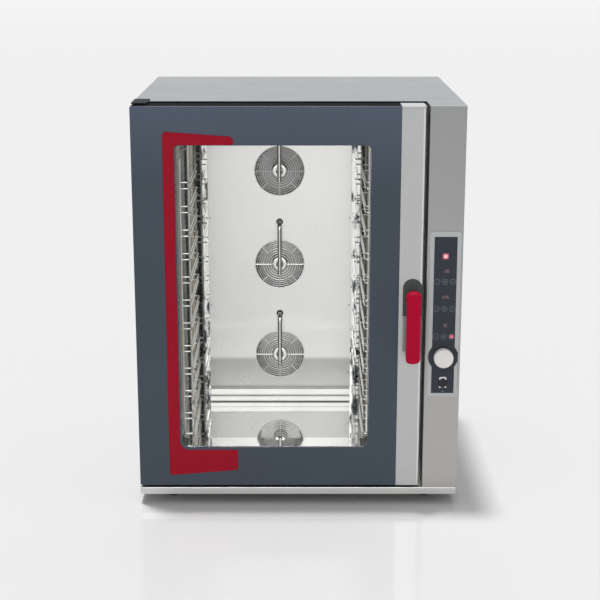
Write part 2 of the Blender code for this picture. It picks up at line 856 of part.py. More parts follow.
def drain_pipe():
    """From under the cavity's floor to the back, in two straight runs."""
    bend = (CAVITY_X, DRAIN_Y, DRAIN_Z)
    top = CAVITY_FLOOR - PLATE - GAP
    outer = join(
        rod(DRAIN_RADIUS, (CAVITY_X, DRAIN_Y - 0.017, DRAIN_Z), (CAVITY_X, REACH, DRAIN_Z)),
        rod(DRAIN_RADIUS, bend, (CAVITY_X, DRAIN_Y, top)),
    )
    along = rod(DRAIN_BORE, (CAVITY_X, DRAIN_Y - 0.0125, DRAIN_Z), (CAVITY_X, REACH + 0.02, DRAIN_Z))
    down = rod(DRAIN_BORE, bend, (CAVITY_X, DRAIN_Y, top + 0.02))
    place(cut(outer, along, down), "drain_pipe", "galvanised_steel")


def water_inlet():
    thread, bore = 0.0132, 0.0090
    profile = [
        (bore, REACH),
        (thread, REACH),
        (thread, REAR + 0.004),
        (0.018, REAR + 0.004),
        (0.018, REAR + GAP),
        (thread, REAR + GAP),
        (thread, 0.372),
        (0.0, 0.372),
        (0.0, 0.386),
        (bore, 0.386),
        (bore, REACH),
    ]
    place(turned(profile, (INLET_X, 0.0, SERVICE_Z)), "water_inlet", "galvanised_steel")


def cable_gland():
    body, bore = 0.0102, 0.0060
    profile = [
        (bore, REACH - 0.001),
        (0.0115, REACH - 0.001),
        (0.0145, REAR + 0.007),
        (0.0145, REAR + GAP),
        (body, REAR + GAP),
        (body, 0.380),
        (0.0, 0.380),
        (0.0, 0.388),
        (bore, 0.388),
        (bore, REACH - 0.001),
    ]
    place(turned(profile, (GLAND_X, 0.0, SERVICE_Z)), "cable_gland", "button_black")


def vent_pipe():
    """The cavity's exhaust, with two small holes for the flap's spindle."""
    start = CAVITY_BACK - 0.012
    tube = cut(
        rod(VENT_RADIUS, (VENT_X, start, VENT_Z), (VENT_X, REACH, VENT_Z)),
        rod(VENT_BORE, (VENT_X, start - 0.02, VENT_Z), (VENT_X, REACH + 0.02, VENT_Z)),
        rod(0.0026, (VENT_X - 0.04, FLAP_Y, VENT_Z), (VENT_X + 0.04, FLAP_Y, VENT_Z), 8),
    )
    place(tube, "vent_pipe", "galvanised_steel")


def vent_flap():
    half = 0.0009
    flap = join(
        rod(0.0218, (VENT_X, FLAP_Y - half, VENT_Z), (VENT_X, FLAP_Y + half, VENT_Z)),
        rod(0.0020, (VENT_X - 0.031, FLAP_Y, VENT_Z), (VENT_X + 0.031, FLAP_Y, VENT_Z), 8),
    )
    set_origin(place(flap, "vent_flap", "galvanised_steel"), (VENT_X, FLAP_Y, VENT_Z))


def cooling_fan():
    """An axial fan for the electronics: square frame, rotor and outside guard."""
    half, depth = 0.046, 0.025
    back = REAR - SHEET - GAP
    front = back - depth
    outlines = [
        oblong(COOLER_X - half, COOLER_Z - half, COOLER_X + half, COOLER_Z + half, 0.006, 2),
        circle(COOLER_X, COOLER_Z, COOLER_BORE - 0.001, FINE),
    ]
    spokes = [
        block(
            (COOLER_X - across, front, COOLER_Z - upright),
            (COOLER_X + across, front + 0.003, COOLER_Z + upright),
        )
        for across, upright in ((0.0425, 0.003), (0.003, 0.0425))
    ]
    hub = rod(0.016, (COOLER_X, front, COOLER_Z), (COOLER_X, front + 0.005, COOLER_Z), 16)
    frame = join(front_plate(outlines, front, depth), *spokes, hub)
    place(frame, "cooling_fan_frame", "fan_black")

    centre = Vector((COOLER_X, 0.0, COOLER_Z))
    blades, start, end = 6, front + 0.0065, front + 0.022
    rotor = rod(0.015, centre + Vector((0, start, 0)), centre + Vector((0, end, 0)), 16)
    fins = []
    for blade in range(blades):
        fin = block((0.012, -0.0065, -0.0008), (0.037, 0.0065, 0.0008))
        pitch = Matrix.Rotation(radians(35), 4, "X")
        turn = Matrix.Rotation(2 * pi * blade / blades, 4, "Y")
        middle = Matrix.Translation(centre + Vector((0.0, (start + end) / 2, 0.0)))
        fin.matrix_world = middle @ turn @ Matrix.Translation(fin.location) @ pitch
        fins.append(fin)
    rotor = place(join(rotor, *fins), "cooling_fan_rotor", "fan_black")
    set_origin(rotor, centre + Vector((0.0, start, 0.0)))

    guard = [circle(COOLER_X, COOLER_Z, 0.045, FINE)]
    for row in range(-3, 4):
        z = COOLER_Z + row * 0.010
        reach = sqrt(0.040**2 - (row * 0.010) ** 2) - 0.003
        guard.append(oblong(COOLER_X - reach, z - 0.0035, COOLER_X + reach, z + 0.0035))
    place(front_plate(guard, REAR + GAP, 0.002), "cooling_fan_guard", "galvanised_steel")


# ---- hinges and latch on the cabinet ----

def hinge_brackets():
    """Plates at the cabinet's left front corner, with the pins that the door turns on."""
    left, right = DOOR_LEFT, DOOR_LEFT + 0.044
    nose = HINGE_Y - 0.022
    upper = join(
        block((left, nose, ROOF_TOP + GAP), (right, CASE_FRONT + 0.045, TOP)),
        rod(PIN_RADIUS, (HINGE_X, HINGE_Y, DOOR_TOP - PIN_DEPTH), (HINGE_X, HINGE_Y, TOP - 0.001), 16),
    )
    place(upper, "upper_hinge_bracket", "galvanised_steel")
    plate_bottom, plate_top = BASE_TOP + GAP, BASE_TOP + 0.004
    pin_bottom, pin_top = plate_bottom + 0.001, DOOR_BOTTOM + PIN_DEPTH
    leg = (left + 0.004, CASE_FRONT - 0.003, BASE_BOTTOM + 0.006)
    lower = join(
        block((left, nose, plate_bottom), (right, CASE_FRONT - GAP, plate_top)),
        block(leg, (right, CASE_FRONT - GAP, plate_top)),
        rod(PIN_RADIUS, (HINGE_X, HINGE_Y, pin_bottom), (HINGE_X, HINGE_Y, pin_top), 16),
    )
    place(lower, "lower_hinge_bracket", "galvanised_steel")


def latch_striker():
    """The plate behind the front frame, with the slot that the latch's hook enters."""
    half_width, rise, drop = 0.026, 0.034, 0.048
    outlines = [
        oblong(HANDLE_X - half_width, HANDLE_Z - drop, HANDLE_X + half_width, HANDLE_Z + rise, 0.004, 2),
        oblong(
            HANDLE_X - SLOT_HALF, HANDLE_Z - SLOT_REACH, HANDLE_X + SLOT_HALF, HANDLE_Z + SLOT_HALF + 0.002
        ),
    ]
    place(front_plate(outlines, CASE_FRONT + PLATE + GAP, STRIKER), "latch_striker", "galvanised_steel")


# ---- control panel ----

def control_panel():
    bezel = front_plate([oblong(*BEZEL, 0.006), overlay_outline(GAP)], FRONT - 0.003, 0.003 - GAP)
    place(bezel, "control_bezel", "bezel_grey")
    shaft_hole, button_hole = 0.0040, BUTTON_RADIUS + 0.0005
    outlines = [
        overlay_outline(0.0),
        circle(PANEL_X, KNOB_Z, shaft_hole, 12),
        circle(PANEL_X, BUTTON_Z, button_hole),
    ]
    place(front_plate(outlines, FRONT - 0.0022, 0.0022 - GAP), "control_overlay", "overlay_black")

    left, low, right, high = OVERLAY
    inset = 0.005
    board_front = FRONT + 0.0125
    board = front_plate(
        [oblong(left + inset, low + inset, right - inset, high - inset), circle(PANEL_X, KNOB_Z, 0.0042, 12)],
        board_front,
        0.0016,
    )
    blocks = [
        block(
            (PANEL_X - 0.015, FRONT + 0.002, z - 0.0085),
            (PANEL_X + 0.015, board_front + 0.001, z + 0.0085),
        )
        for z in DISPLAY_LEVELS
    ]
    place(join(board, *blocks), "control_board", "board_green")


def encoder_shaft():
    shaft = rod(0.003, (PANEL_X, FRONT - 0.020, KNOB_Z), (PANEL_X, FRONT + 0.026, KNOB_Z), 12)
    set_origin(place(shaft, "encoder_shaft", "galvanised_steel"), (PANEL_X, FRONT, KNOB_Z))


def selector_knob():
    """A hollow round knob on the encoder's shaft, standing clear of the panel by its push travel."""
    rear, front = FRONT - 0.0045, FRONT - 0.0245
    bore = 0.003 + GAP
    profile = [
        (bore, rear),
        (0.0270, rear),
        (KNOB_RADIUS, rear - 0.002),
        (KNOB_RADIUS - 0.001, front + 0.004),
        (KNOB_RADIUS - 0.004, front),
        (0.0, front),
        (0.0, FRONT - 0.020 - GAP),
        (bore, FRONT - 0.020 - GAP),
        (bore, rear),
    ]
    knob = turned(profile[::-1], (PANEL_X, 0.0, KNOB_Z), FINE)
    dimple_z = KNOB_Z + 0.018
    dimple = rod(0.005, (PANEL_X, front - 0.002, dimple_z), (PANEL_X, front + 0.0008, dimple_z), 12)
    knob = place(cut(knob, dimple), "selector_knob", "knob_grey")
    set_origin(knob, (PANEL_X, rear, KNOB_Z))


def start_button():
    button = rod(BUTTON_RADIUS, (PANEL_X, FRONT - 0.0050, BUTTON_Z), (PANEL_X, FRONT + 0.0090, BUTTON_Z))
    set_origin(place(button, "start_button", "button_black"), (PANEL_X, FRONT, BUTTON_Z))


# ---- door ----

def door_frame():
    """A ring-shaped channel: web behind the glass, outer and inner walls, and blocks for the pins."""
    left, right = DOOR_LEFT + 0.001, DOOR_SPLIT - GAP
    bottom, top = DOOR_BOTTOM + 0.001, DOOR_TOP - 0.001
    front, back = FRONT + GLASS + GAP, DOOR_BACK
    window = oblong(WINDOW_LEFT, WINDOW_BOTTOM, WINDOW_RIGHT, WINDOW_TOP, 0.018)
    wall = oblong(
        WINDOW_LEFT - PLATE, WINDOW_BOTTOM - PLATE, WINDOW_RIGHT + PLATE, WINDOW_TOP + PLATE, 0.020
    )
    web = front_plate([oblong(left, bottom, right, top), window], front, PLATE)
    rim = front_plate(
        [
            oblong(left, bottom, right, top),
            oblong(left + PLATE, bottom + PLATE, right - PLATE, top - PLATE),
        ],
        front + PLATE / 2,
        back - front - PLATE / 2,
    )
    inner_wall = front_plate(
        [wall, window], front + PLATE / 2, back - INNER_GLASS - 2 * GAP - front - PLATE / 2
    )
    pin_half = 0.0105
    blocks = [
        block((left + PLATE / 2, HINGE_Y - 0.012, low), (HINGE_X + pin_half, HINGE_Y + 0.014, high))
        for low, high in (
            (bottom + PLATE / 2, bottom + PIN_DEPTH + 0.008),
            (top - PIN_DEPTH - 0.008, top - PLATE / 2),
        )
    ]
    holes = [
        rod(PIN_RADIUS + 0.0006, (HINGE_X, HINGE_Y, low), (HINGE_X, HINGE_Y, high), 16)
        for low, high in (
            (bottom - 0.01, DOOR_BOTTOM + PIN_DEPTH + 0.002),
            (DOOR_TOP - PIN_DEPTH - 0.002, top + 0.01),
        )
    ]
    shell = join(web, rim, inner_wall, *blocks)
    frame = place(cut(shell, *holes), "door_frame", "door_black")
    set_origin(frame, (HINGE_X, HINGE_Y, DOOR_BOTTOM))


def door_glasses():
    outer = front_plate(
        [oblong(DOOR_LEFT, DOOR_BOTTOM, DOOR_SPLIT, DOOR_TOP, 0.004, 2)], FRONT, GLASS
    )
    set_origin(place(outer, "door_outer_glass", "printed_glass"), (HINGE_X, HINGE_Y, DOOR_BOTTOM))
    inner = front_plate(
        [
            oblong(
                HINGE_X + 0.0115,
                DOOR_BOTTOM + 0.004,
                DOOR_SPLIT - 0.004,
                DOOR_TOP - 0.004,
                0.004,
                2,
            )
        ],
        DOOR_BACK - INNER_GLASS,
        INNER_GLASS,
    )
    set_origin(place(inner, "door_inner_glass", "clear_glass"), (HINGE_X, HINGE_Y, DOOR_BOTTOM))


def door_side_profile():
    """The upright channel that carries the handle, open towards the glass, with its end cap."""
    left = DOOR_SPLIT + GAP
    radius = 0.008
    corner = arc(DOOR_RIGHT - radius, FRONT + radius, radius, -90, 0, 3)
    path = [(left, FRONT)] + corner + [(DOOR_RIGHT, DOOR_BACK), (left, DOOR_BACK)]
    cap = 0.006
    bottom, top = DOOR_BOTTOM, DOOR_TOP - cap - GAP
    shell = level_plate([strip_outline(path, PLATE)], bottom, top - bottom)
    holes = [
        rod(SPINDLE + 0.001, (HANDLE_X, y - 0.01, HANDLE_Z), (HANDLE_X, y + 0.01, HANDLE_Z), 12)
        for y in (FRONT, DOOR_BACK)
    ]
    profile = place(cut(shell, *holes), "door_side_profile", "brushed_steel")
    set_origin(profile, (HINGE_X, HINGE_Y, DOOR_BOTTOM))
    outline = [(left, FRONT)] + corner + [(DOOR_RIGHT, DOOR_BACK), (left, DOOR_BACK)]
    lid = level_plate([outline], DOOR_TOP - cap, cap)
    set_origin(place(lid, "door_profile_cap", "cap_grey"), (HINGE_X, HINGE_Y, DOOR_BOTTOM))


def handle_backplate():
    left, bottom, right = 0.297, 0.470, 0.352
    half = (right - left) / 2
    middle, top = left + half, 0.685
    dome = arc(middle, top - half, half, 0, 180, 10)
    outline = [(left, bottom), (right, bottom)] + dome
    plate = front_plate(
        [outline, circle(HANDLE_X, HANDLE_Z, SPINDLE + 0.001, 12)], FRONT - 0.0025, 0.0025 - GAP
    )
    set_origin(place(plate, "handle_backplate", "plate_grey"), (HINGE_X, HINGE_Y, DOOR_BOTTOM))


def handle_lever():
    """A flat upright grip on a round neck, turning about the spindle."""
    plate_front = FRONT - 0.0025
    neck_back = plate_front - GAP
    grip = front_plate(
        [oblong(HANDLE_X - GRIP_HALF, GRIP_BOTTOM, HANDLE_X + GRIP_HALF, GRIP_TOP, 0.016, 4)],
        -REACH,
        GRIP_BACK + REACH,
    )
    soften(grip, 0.005)
    neck = rod(0.0165, (HANDLE_X, -REACH + 0.006, HANDLE_Z), (HANDLE_X, neck_back, HANDLE_Z))
    lever = place(join(evaluated_copy(grip), neck), "handle_lever", "lever_red")
    set_origin(lever, (HANDLE_X, neck_back, HANDLE_Z))


def latch_hook():
    """The handle's spindle through the profile, with the hook that enters the striker."""
    start = FRONT - 0.0025 - GAP + 0.0006
    striker_back = CASE_FRONT + PLATE + GAP + STRIKER
    hook_front, hook_back = striker_back + 0.0025, striker_back + 0.0075
    hook = join(
        rod(SPINDLE, (HANDLE_X, start, HANDLE_Z), (HANDLE_X, hook_back, HANDLE_Z), 16),
        block((HANDLE_X - 0.0065, hook_front, HANDLE_Z - 0.028), (HANDLE_X + 0.0065, hook_back, HANDLE_Z)),
    )
    set_origin(place(hook, "latch_hook", "galvanised_steel"), (HANDLE_X, start, HANDLE_Z))


# ---- assembly ----

def build():
    base_frame()
    feet()
    roof_panel()
    side_panels()
    back_panel()
    front_frame()
    control_fascia()
    cavity_liner()
    insulation_jacket()
    door_seal()
    fan_baffle()
    baffle_foot()
    for level, z in FAN_LEVELS.items():
        fan_guard(level, z)
        steam_pipe(level, z)
        heater_ring(level, z)
        fan_motor(level, z)
        fan_wheel(level, z)
    rack("rack_left", -1)
    rack("rack_right", 1)
    drain_filter()
    cavity_lamp()
    drain_pipe()
    water_inlet()
    cable_gland()
    vent_pipe()
    vent_flap()
    cooling_fan()
    hinge_brackets()
    latch_striker()
    control_panel()
    encoder_shaft()
    selector_knob()
    start_button()
    door_frame()
    door_glasses()
    door_side_profile()
    handle_backplate()
    handle_lever()
    latch_hook()


build()
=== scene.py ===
from math import atan2, cos, degrees, pi, radians, sin, sqrt, tan

import bmesh
import bpy
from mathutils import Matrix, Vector
from mathutils.geometry import tessellate_polygon


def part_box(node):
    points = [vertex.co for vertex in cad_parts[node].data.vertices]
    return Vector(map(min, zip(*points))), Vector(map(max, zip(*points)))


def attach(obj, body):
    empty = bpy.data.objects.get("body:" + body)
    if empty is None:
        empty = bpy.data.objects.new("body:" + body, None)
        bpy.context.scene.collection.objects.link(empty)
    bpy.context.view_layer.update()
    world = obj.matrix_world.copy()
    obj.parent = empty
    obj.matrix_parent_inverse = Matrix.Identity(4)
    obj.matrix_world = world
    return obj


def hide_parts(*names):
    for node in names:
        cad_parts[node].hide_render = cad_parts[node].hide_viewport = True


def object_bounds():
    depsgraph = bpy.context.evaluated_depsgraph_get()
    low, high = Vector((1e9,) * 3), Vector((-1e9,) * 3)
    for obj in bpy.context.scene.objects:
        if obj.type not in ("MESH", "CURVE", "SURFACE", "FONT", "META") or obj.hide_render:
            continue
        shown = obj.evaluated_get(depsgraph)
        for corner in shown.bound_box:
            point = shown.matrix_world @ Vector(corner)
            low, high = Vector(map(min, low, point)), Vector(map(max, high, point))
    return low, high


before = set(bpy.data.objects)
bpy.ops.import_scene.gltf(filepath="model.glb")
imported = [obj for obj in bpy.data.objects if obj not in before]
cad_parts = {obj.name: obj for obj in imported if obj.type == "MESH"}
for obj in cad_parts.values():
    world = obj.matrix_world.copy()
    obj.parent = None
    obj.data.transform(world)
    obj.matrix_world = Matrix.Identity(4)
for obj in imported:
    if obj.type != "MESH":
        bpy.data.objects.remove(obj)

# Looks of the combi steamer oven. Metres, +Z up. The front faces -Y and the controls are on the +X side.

CAD_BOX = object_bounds()


def box_of(node):
    """The node's lowest and highest corners as (x, y, z) tuples."""
    low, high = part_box(node)
    return tuple(low), tuple(high)


def middle_of(node):
    return tuple((a + b) / 2 for a, b in zip(*box_of(node)))


# ---- places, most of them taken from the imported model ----

FORWARD, BACKWARD, UP, DOWN = (0, -1, 0), (0, 1, 0), (0, 0, 1), (0, 0, -1)
GAP, SHEET, PLATE = 0.0003, 0.0015, 0.002
(LEFT, _, ROOF_SKIRT), (RIGHT, REAR, ROOF) = box_of("roof_panel")
(_, FRONT, BASE_LOW), (_, _, BASE_TOP) = box_of("base_frame")
(_, CASE_FRONT, _), (_, _, CASE_TOP) = box_of("front_frame")
(COLUMN_LEFT, _, COLUMN_LOW), _ = box_of("control_fascia")
ROOF_FRONT_EDGE = -0.272
REACH = CAD_BOX[1][1]

(DOOR_LEFT, _, DOOR_LOW), (GLASS_RIGHT, GLASS_BACK, DOOR_TOP) = box_of("door_outer_glass")
(PROFILE_LEFT, _, _), (DOOR_RIGHT, DOOR_BACK, PROFILE_TOP) = box_of("door_side_profile")
INNER_LOW, INNER_HIGH = box_of("door_inner_glass")
WINDOW = (-0.3415, 0.1765, 0.2025, 1.0655)
WINDOW_LOW_RADIUS, WINDOW_TOP_RADIUS = 0.022, 0.013
PIN_X, PIN_Y = -0.452, -0.312

MOUTH = box_of("cavity_liner")[0][1]
CAVITY_X, FAN_X = -0.060, -0.059
BAFFLE_LOW, BAFFLE_HIGH = box_of("fan_baffle")
FOOT_LOW, FOOT_HIGH = box_of("baffle_foot")
BAFFLE = BAFFLE_LOW[1]
FAN_LEVELS = {level: middle_of(f"fan_guard_{level}")[2] for level in ("bottom", "middle", "top")}
GUARD_RADIUS = 0.083
PIPE_RISES = {"bottom": 0.137, "middle": 0.137, "top": 0.114}
PIPE_DROP = 0.029

HANDLE_X, HANDLE_Z = 0.3255, 0.630
PANEL_X, KNOB_Z, START_Z = 0.4155, 0.454, 0.375
OVERLAY_LOW, OVERLAY_HIGH = box_of("control_overlay")
BEZEL_LOW, BEZEL_HIGH = box_of("control_bezel")
PANEL_FACE = OVERLAY_LOW[1]
COOLING_X, COOLING_Z = 0.365, 0.300


# ---- outlines ----

def turns(count):
    """The angles of count even steps round a circle."""
    return [2 * pi * step / count for step in range(count)]


def outward(turn):
    """A direction in the front's plane."""
    return Vector((cos(turn), 0.0, sin(turn)))


def corner_arc(before, here, after, radius, steps=6):
    """Points of the arc that rounds one corner of a path."""
    back, ahead = before - here, after - here
    if radius < 1e-6 or back.length < 1e-9 or ahead.length < 1e-9:
        return [here]
    half = back.angle(ahead) / 2
    if half > pi / 2 - 0.01:
        return [here]
    size = min(radius, 0.499 * min(back.length, ahead.length) * tan(half))
    middle = here + (back.normalized() + ahead.normalized()).normalized() * (size / sin(half))
    start, end = ((here + way.normalized() * (size / tan(half)) - middle) / size for way in (back, ahead))
    turn = start.angle(end)
    side = (end - start * cos(turn)) / sin(turn)
    angles = [turn * step / steps for step in range(steps + 1)]
    return [middle + (start * cos(angle) + side * sin(angle)) * size for angle in angles]


def outline(*corners, steps=6):
    """A closed outline. Each corner is (x, y, radius)."""
    places = [Vector(corner[:2]) for corner in corners]
    loop = []
    for index, (_, _, radius) in enumerate(corners):
        ahead = places[(index + 1) % len(places)]
        loop += corner_arc(places[index - 1], places[index], ahead, radius, steps)
    return loop


def bent(path, radius):
    """A path with its corners rounded."""
    places = [Vector(point) for point in path]
    line = places[:1]
    for before, here, after in zip(places, places[1:], places[2:]):
        line += corner_arc(before, here, after, radius)
    return line + places[-1:]


def oblong(left, low, right, high, radius=0.0):
    corners = ((left, low), (right, low), (right, high), (left, high))
    return outline(*((x, y, radius) for x, y in corners))


def face_of(low, high, radius, inset=0.0):
    """The outline of a box as seen from the front."""
    return oblong(low[0] + inset, low[2] + inset, high[0] - inset, high[2] - inset, radius)


def around(x, y, half_width, half_height, radius=0.0):
    """An oblong round a middle."""
    return oblong(x - half_width, y - half_height, x + half_width, y + half_height, radius)


def circle(x, y, radius, sides=48, angles=None):
    return [Vector((x + radius * cos(a), y + radius * sin(a))) for a in angles or turns(sides)]


def arc(x, y, radius, start, end, steps):
    """Part of a circle, between two angles in degrees."""
    angles = [radians(start + (end - start) * step / steps) for step in range(steps + 1)]
    return circle(x, y, radius, angles=angles)


def wound(loop, outer):
    """The loop, anticlockwise if it is an outer one and clockwise if it is a hole."""
    loop = [Vector(point[:2]) for point in loop]
    area = sum(a.x * b.y - b.x * a.y for a, b in zip(loop, loop[1:] + loop[:1]))
    return loop if (area > 0) == outer else loop[::-1]


def shifted(here, first, second, amount):
    """A corner of a path, moved to the right of the two directions that meet in it."""
    first, second = first.normalized(), second.normalized()
    right = Vector((first.y, -first.x))
    normal = right + Vector((second.y, -second.x))
    normal = normal.normalized() if normal.length > 1e-6 else right
    return here + normal * (amount / max(0.35, normal.dot(right)))


def grown(loop, amount):
    """The loop moved outwards by amount. For a hole this makes the hole smaller."""
    if abs(amount) < 1e-9:
        return list(loop)
    ahead = loop[1:] + loop[:1]
    return [shifted(here, here - loop[i - 1], ahead[i] - here, amount) for i, here in enumerate(loop)]


def ribbon(path, thickness, radius=0.0):
    """The outline of a folded strip. The path is its outer face, and the strip lies to its left."""
    line = bent(path, radius)
    ways = [after - here for here, after in zip(line, line[1:])]
    corners = zip(line, ways[:1] + ways, ways + ways[-1:])
    return line + [shifted(*corner, -thickness) for corner in corners][::-1]


def rim(size, level, sign, steps, inset=0.0):
    """A rounded rim as (distance inwards, level) pairs, from the flat face to the side."""
    if size <= 0:
        return [(inset, level)]
    angles = [pi / 2 * step / steps for step in range(steps + 1)]
    return [(inset + size * (1 - sin(a)), level + sign * size * (1 - cos(a))) for a in angles]


def lifted(point, level, axis):
    """A point of an outline, put at a level along the axis that the outline faces."""
    x, y = point
    return {"X": (level, x, y), "Y": (x, level, y), "Z": (x, y, level)}[axis]


# ---- solid shapes ----

def placed(name, data):
    """A new object in the scene."""
    item = bpy.data.objects.new(name, data)
    bpy.context.scene.collection.objects.link(item)
    return item


class Shape:
    """Faces that are gathered into one piece, in the oven's own frame."""

    def __init__(self):
        self.mesh = bmesh.new()

    def band(self, first, second):
        """Faces between two rings of corners. A ring of one corner is a tip."""
        count = max(len(first), len(second))
        for index in range(count):
            after = (index + 1) % count
            if len(first) == 1:
                corners = (first[0], second[after], second[index])
            elif len(second) == 1:
                corners = (first[index], first[after], second[0])
            else:
                corners = (first[index], first[after], second[after], second[index])
            self.mesh.faces.new(corners)

    def skin(self, rings, closed=False):
        """Faces between rings of points. Open ends that aren't tips are capped."""
        made = [[self.mesh.verts.new(point) for point in ring] for ring in rings]
        for first, second in zip(made, made[1:]):
            self.band(first, second)
        if closed:
            self.band(made[-1], made[0])
        else:
            for ring in (made[0], made[-1]):
                if len(ring) > 2:
                    self.mesh.faces.new(ring)
        return self

    def lathe(self, profile, centre, axis=FORWARD, sides=48, closed=False):
        """Turns a profile of (radius, distance along the axis) points about the axis."""
        centre, axis = Vector(centre), Vector(axis).normalized()
        across = axis.orthogonal().normalized()
        up = axis.cross(across)
        rings = []
        for radius, distance in profile:
            middle = centre + axis * distance
            if radius < 1e-7:
                rings.append([middle])
            else:
                rings.append([middle + (across * cos(a) + up * sin(a)) * radius for a in turns(sides)])
        return self.skin(rings, closed)

    def tube(self, points, radius, sides=10, bend=0.0, closed=False):
        """A round bar along a path, with its corners bent and its ends rounded."""
        places = bent(points, bend)
        last = len(places) - 1
        rings, normal = [], None
        for index, here in enumerate(places):
            starts, ends = not closed and index == 0, not closed and index == last
            before = here if starts else places[index - 1]
            after = here if ends else places[(index + 1) % len(places)]
            along = (after - before).normalized()
            if normal is None:
                normal = along.orthogonal().normalized()
            normal = (normal - along * normal.dot(along)).normalized()
            side = along.cross(normal)
            ring = [(normal * cos(a) + side * sin(a)) * radius for a in turns(sides)]
            tip = [here + 0.6 * offset for offset in ring]
            inner = here + along * radius * (0.3 * starts - 0.3 * ends)
            rings += [tip] * starts + [[inner + offset for offset in ring]] + [tip] * ends
        return self.skin(rings, closed)

    def hoop(self, centre, radius, thickness, count):
        """A ring of wire that faces the front."""
        points = [Vector(centre) + outward(turn) * radius for turn in turns(count)]
        return self.tube(points, thickness, 8, closed=True)

    def walls(self, loop, stations, axis):
        """The sides of a plate along one outline. Stations are (distance inwards, level)."""
        rings = []
        for inset, level in stations:
            ring = [lifted(point, level, axis) for point in grown(loop, -inset)]
            rings.append([self.mesh.verts.new(place) for place in ring])
        for first, second in zip(rings, rings[1:]):
            self.band(first, second)
        return rings[0], rings[-1]

    def plate(self, loops, stations, axis):
        """Walls along every outline, closed at both ends by faces that leave the holes open."""
        ends = [self.walls(loop, stations, axis) for loop in loops]
        for end in (0, -1):
            flats = [grown(loop, -stations[end][0]) for loop in loops]
            verts = [vert for pair in ends for vert in pair[end]]
            for triangle in tessellate_polygon([[Vector((*point, 0)) for point in flat] for flat in flats]):
                if len(set(triangle)) == 3:
                    try:
                        self.mesh.faces.new([verts[index] for index in triangle])
                    except ValueError:
                        pass
        return self

    def prism(self, outlines, low, high, axis="Y", bevel=0.0005, top_bevel=None, steps=3):
        """A plate with rounded rims. The outlines are the outer one and then its holes."""
        top_bevel = bevel if top_bevel is None else top_bevel
        stations = rim(bevel, low, 1, steps) + rim(top_bevel, high, -1, steps)[::-1]
        return self.plate([wound(loop, index == 0) for index, loop in enumerate(outlines)], stations, axis)

    def tray(self, loop, face, lip, axis, radius=0.0025):
        """A sheet folded over all round: flat at face, with its edge at lip."""
        sign = 1 if lip > face else -1
        inner = max(radius - SHEET, 0.0004)
        stations = rim(radius, face, sign, 4) + [(0.0, lip), (SHEET, lip)]
        stations += rim(inner, face + sign * SHEET, sign, 4, SHEET)[::-1]
        return self.plate([wound(loop, True)], stations, axis)

    def box(self, low, high, bevel=0.0005, steps=2):
        """A block with rounded edges."""
        size = [top - bottom for bottom, top in zip(low, high)]
        made = bmesh.ops.create_cube(self.mesh, size=1.0)["verts"]
        for vert in made:
            vert.co = Vector([(low[i] + high[i]) / 2 + vert.co[i] * size[i] for i in range(3)])
        edges = list(dict.fromkeys(edge for vert in made for edge in vert.link_edges))
        if bevel > 0:
            width = min(bevel, 0.45 * min(size))
            bmesh.ops.bevel(
                self.mesh, geom=edges, offset=width, segments=steps, profile=0.5, affect="EDGES"
            )
        return self

    def screw(self, centre, axis, radius=0.0038):
        """A domed screw head with a round drive in it."""
        profile = [(0.0, 0.18), (0.30, 0.18), (0.38, 0.52), (0.55, 0.60), (0.85, 0.42), (1.0, 0.10)]
        profile += [(1.0, -0.05), (0.0, -0.05)]
        return self.lathe([(r * radius, h * radius) for r, h in profile], centre, axis, 18)

    def combined(self, tool, operation="DIFFERENCE"):
        """Takes the tool's space away from this shape, or adds it."""
        items = []
        for source in (self, tool):
            bmesh.ops.recalc_face_normals(source.mesh, faces=source.mesh.faces)
            mesh = bpy.data.meshes.new("work")
            source.mesh.to_mesh(mesh)
            items.append(placed("work", mesh))
        change = items[0].modifiers.new("change", "BOOLEAN")
        change.operation, change.object, change.solver = operation, items[1], "EXACT"
        graph = bpy.context.evaluated_depsgraph_get()
        graph.update()
        result = bpy.data.meshes.new_from_object(items[0].evaluated_get(graph))
        self.mesh.clear()
        self.mesh.from_mesh(result)
        for mesh in [item.data for item in items] + [result]:
            bpy.data.meshes.remove(mesh)
        return self


def mm(*points):
    """A profile for the lathe that is written in millimetres."""
    return [(radius / 1000, distance / 1000) for radius, distance in points]


# ---- materials ----

def shade(colour, factor):
    return tuple(min(1.0, part * factor) for part in colour)


def node_in(tree, kind, inputs=(), **settings):
    """A new node. Its inputs are values or the outputs of other nodes, and a colour may have three parts."""
    node = tree.nodes.new(kind)
    for key, value in settings.items():
        setattr(node, key, value)
    for socket, value in dict(inputs).items():
        target = node.inputs[socket]
        if isinstance(value, bpy.types.NodeSocket):
            tree.links.new(value, target)
        else:
            target.default_value = (*value, 1.0) if target.type == "RGBA" else value
    return node


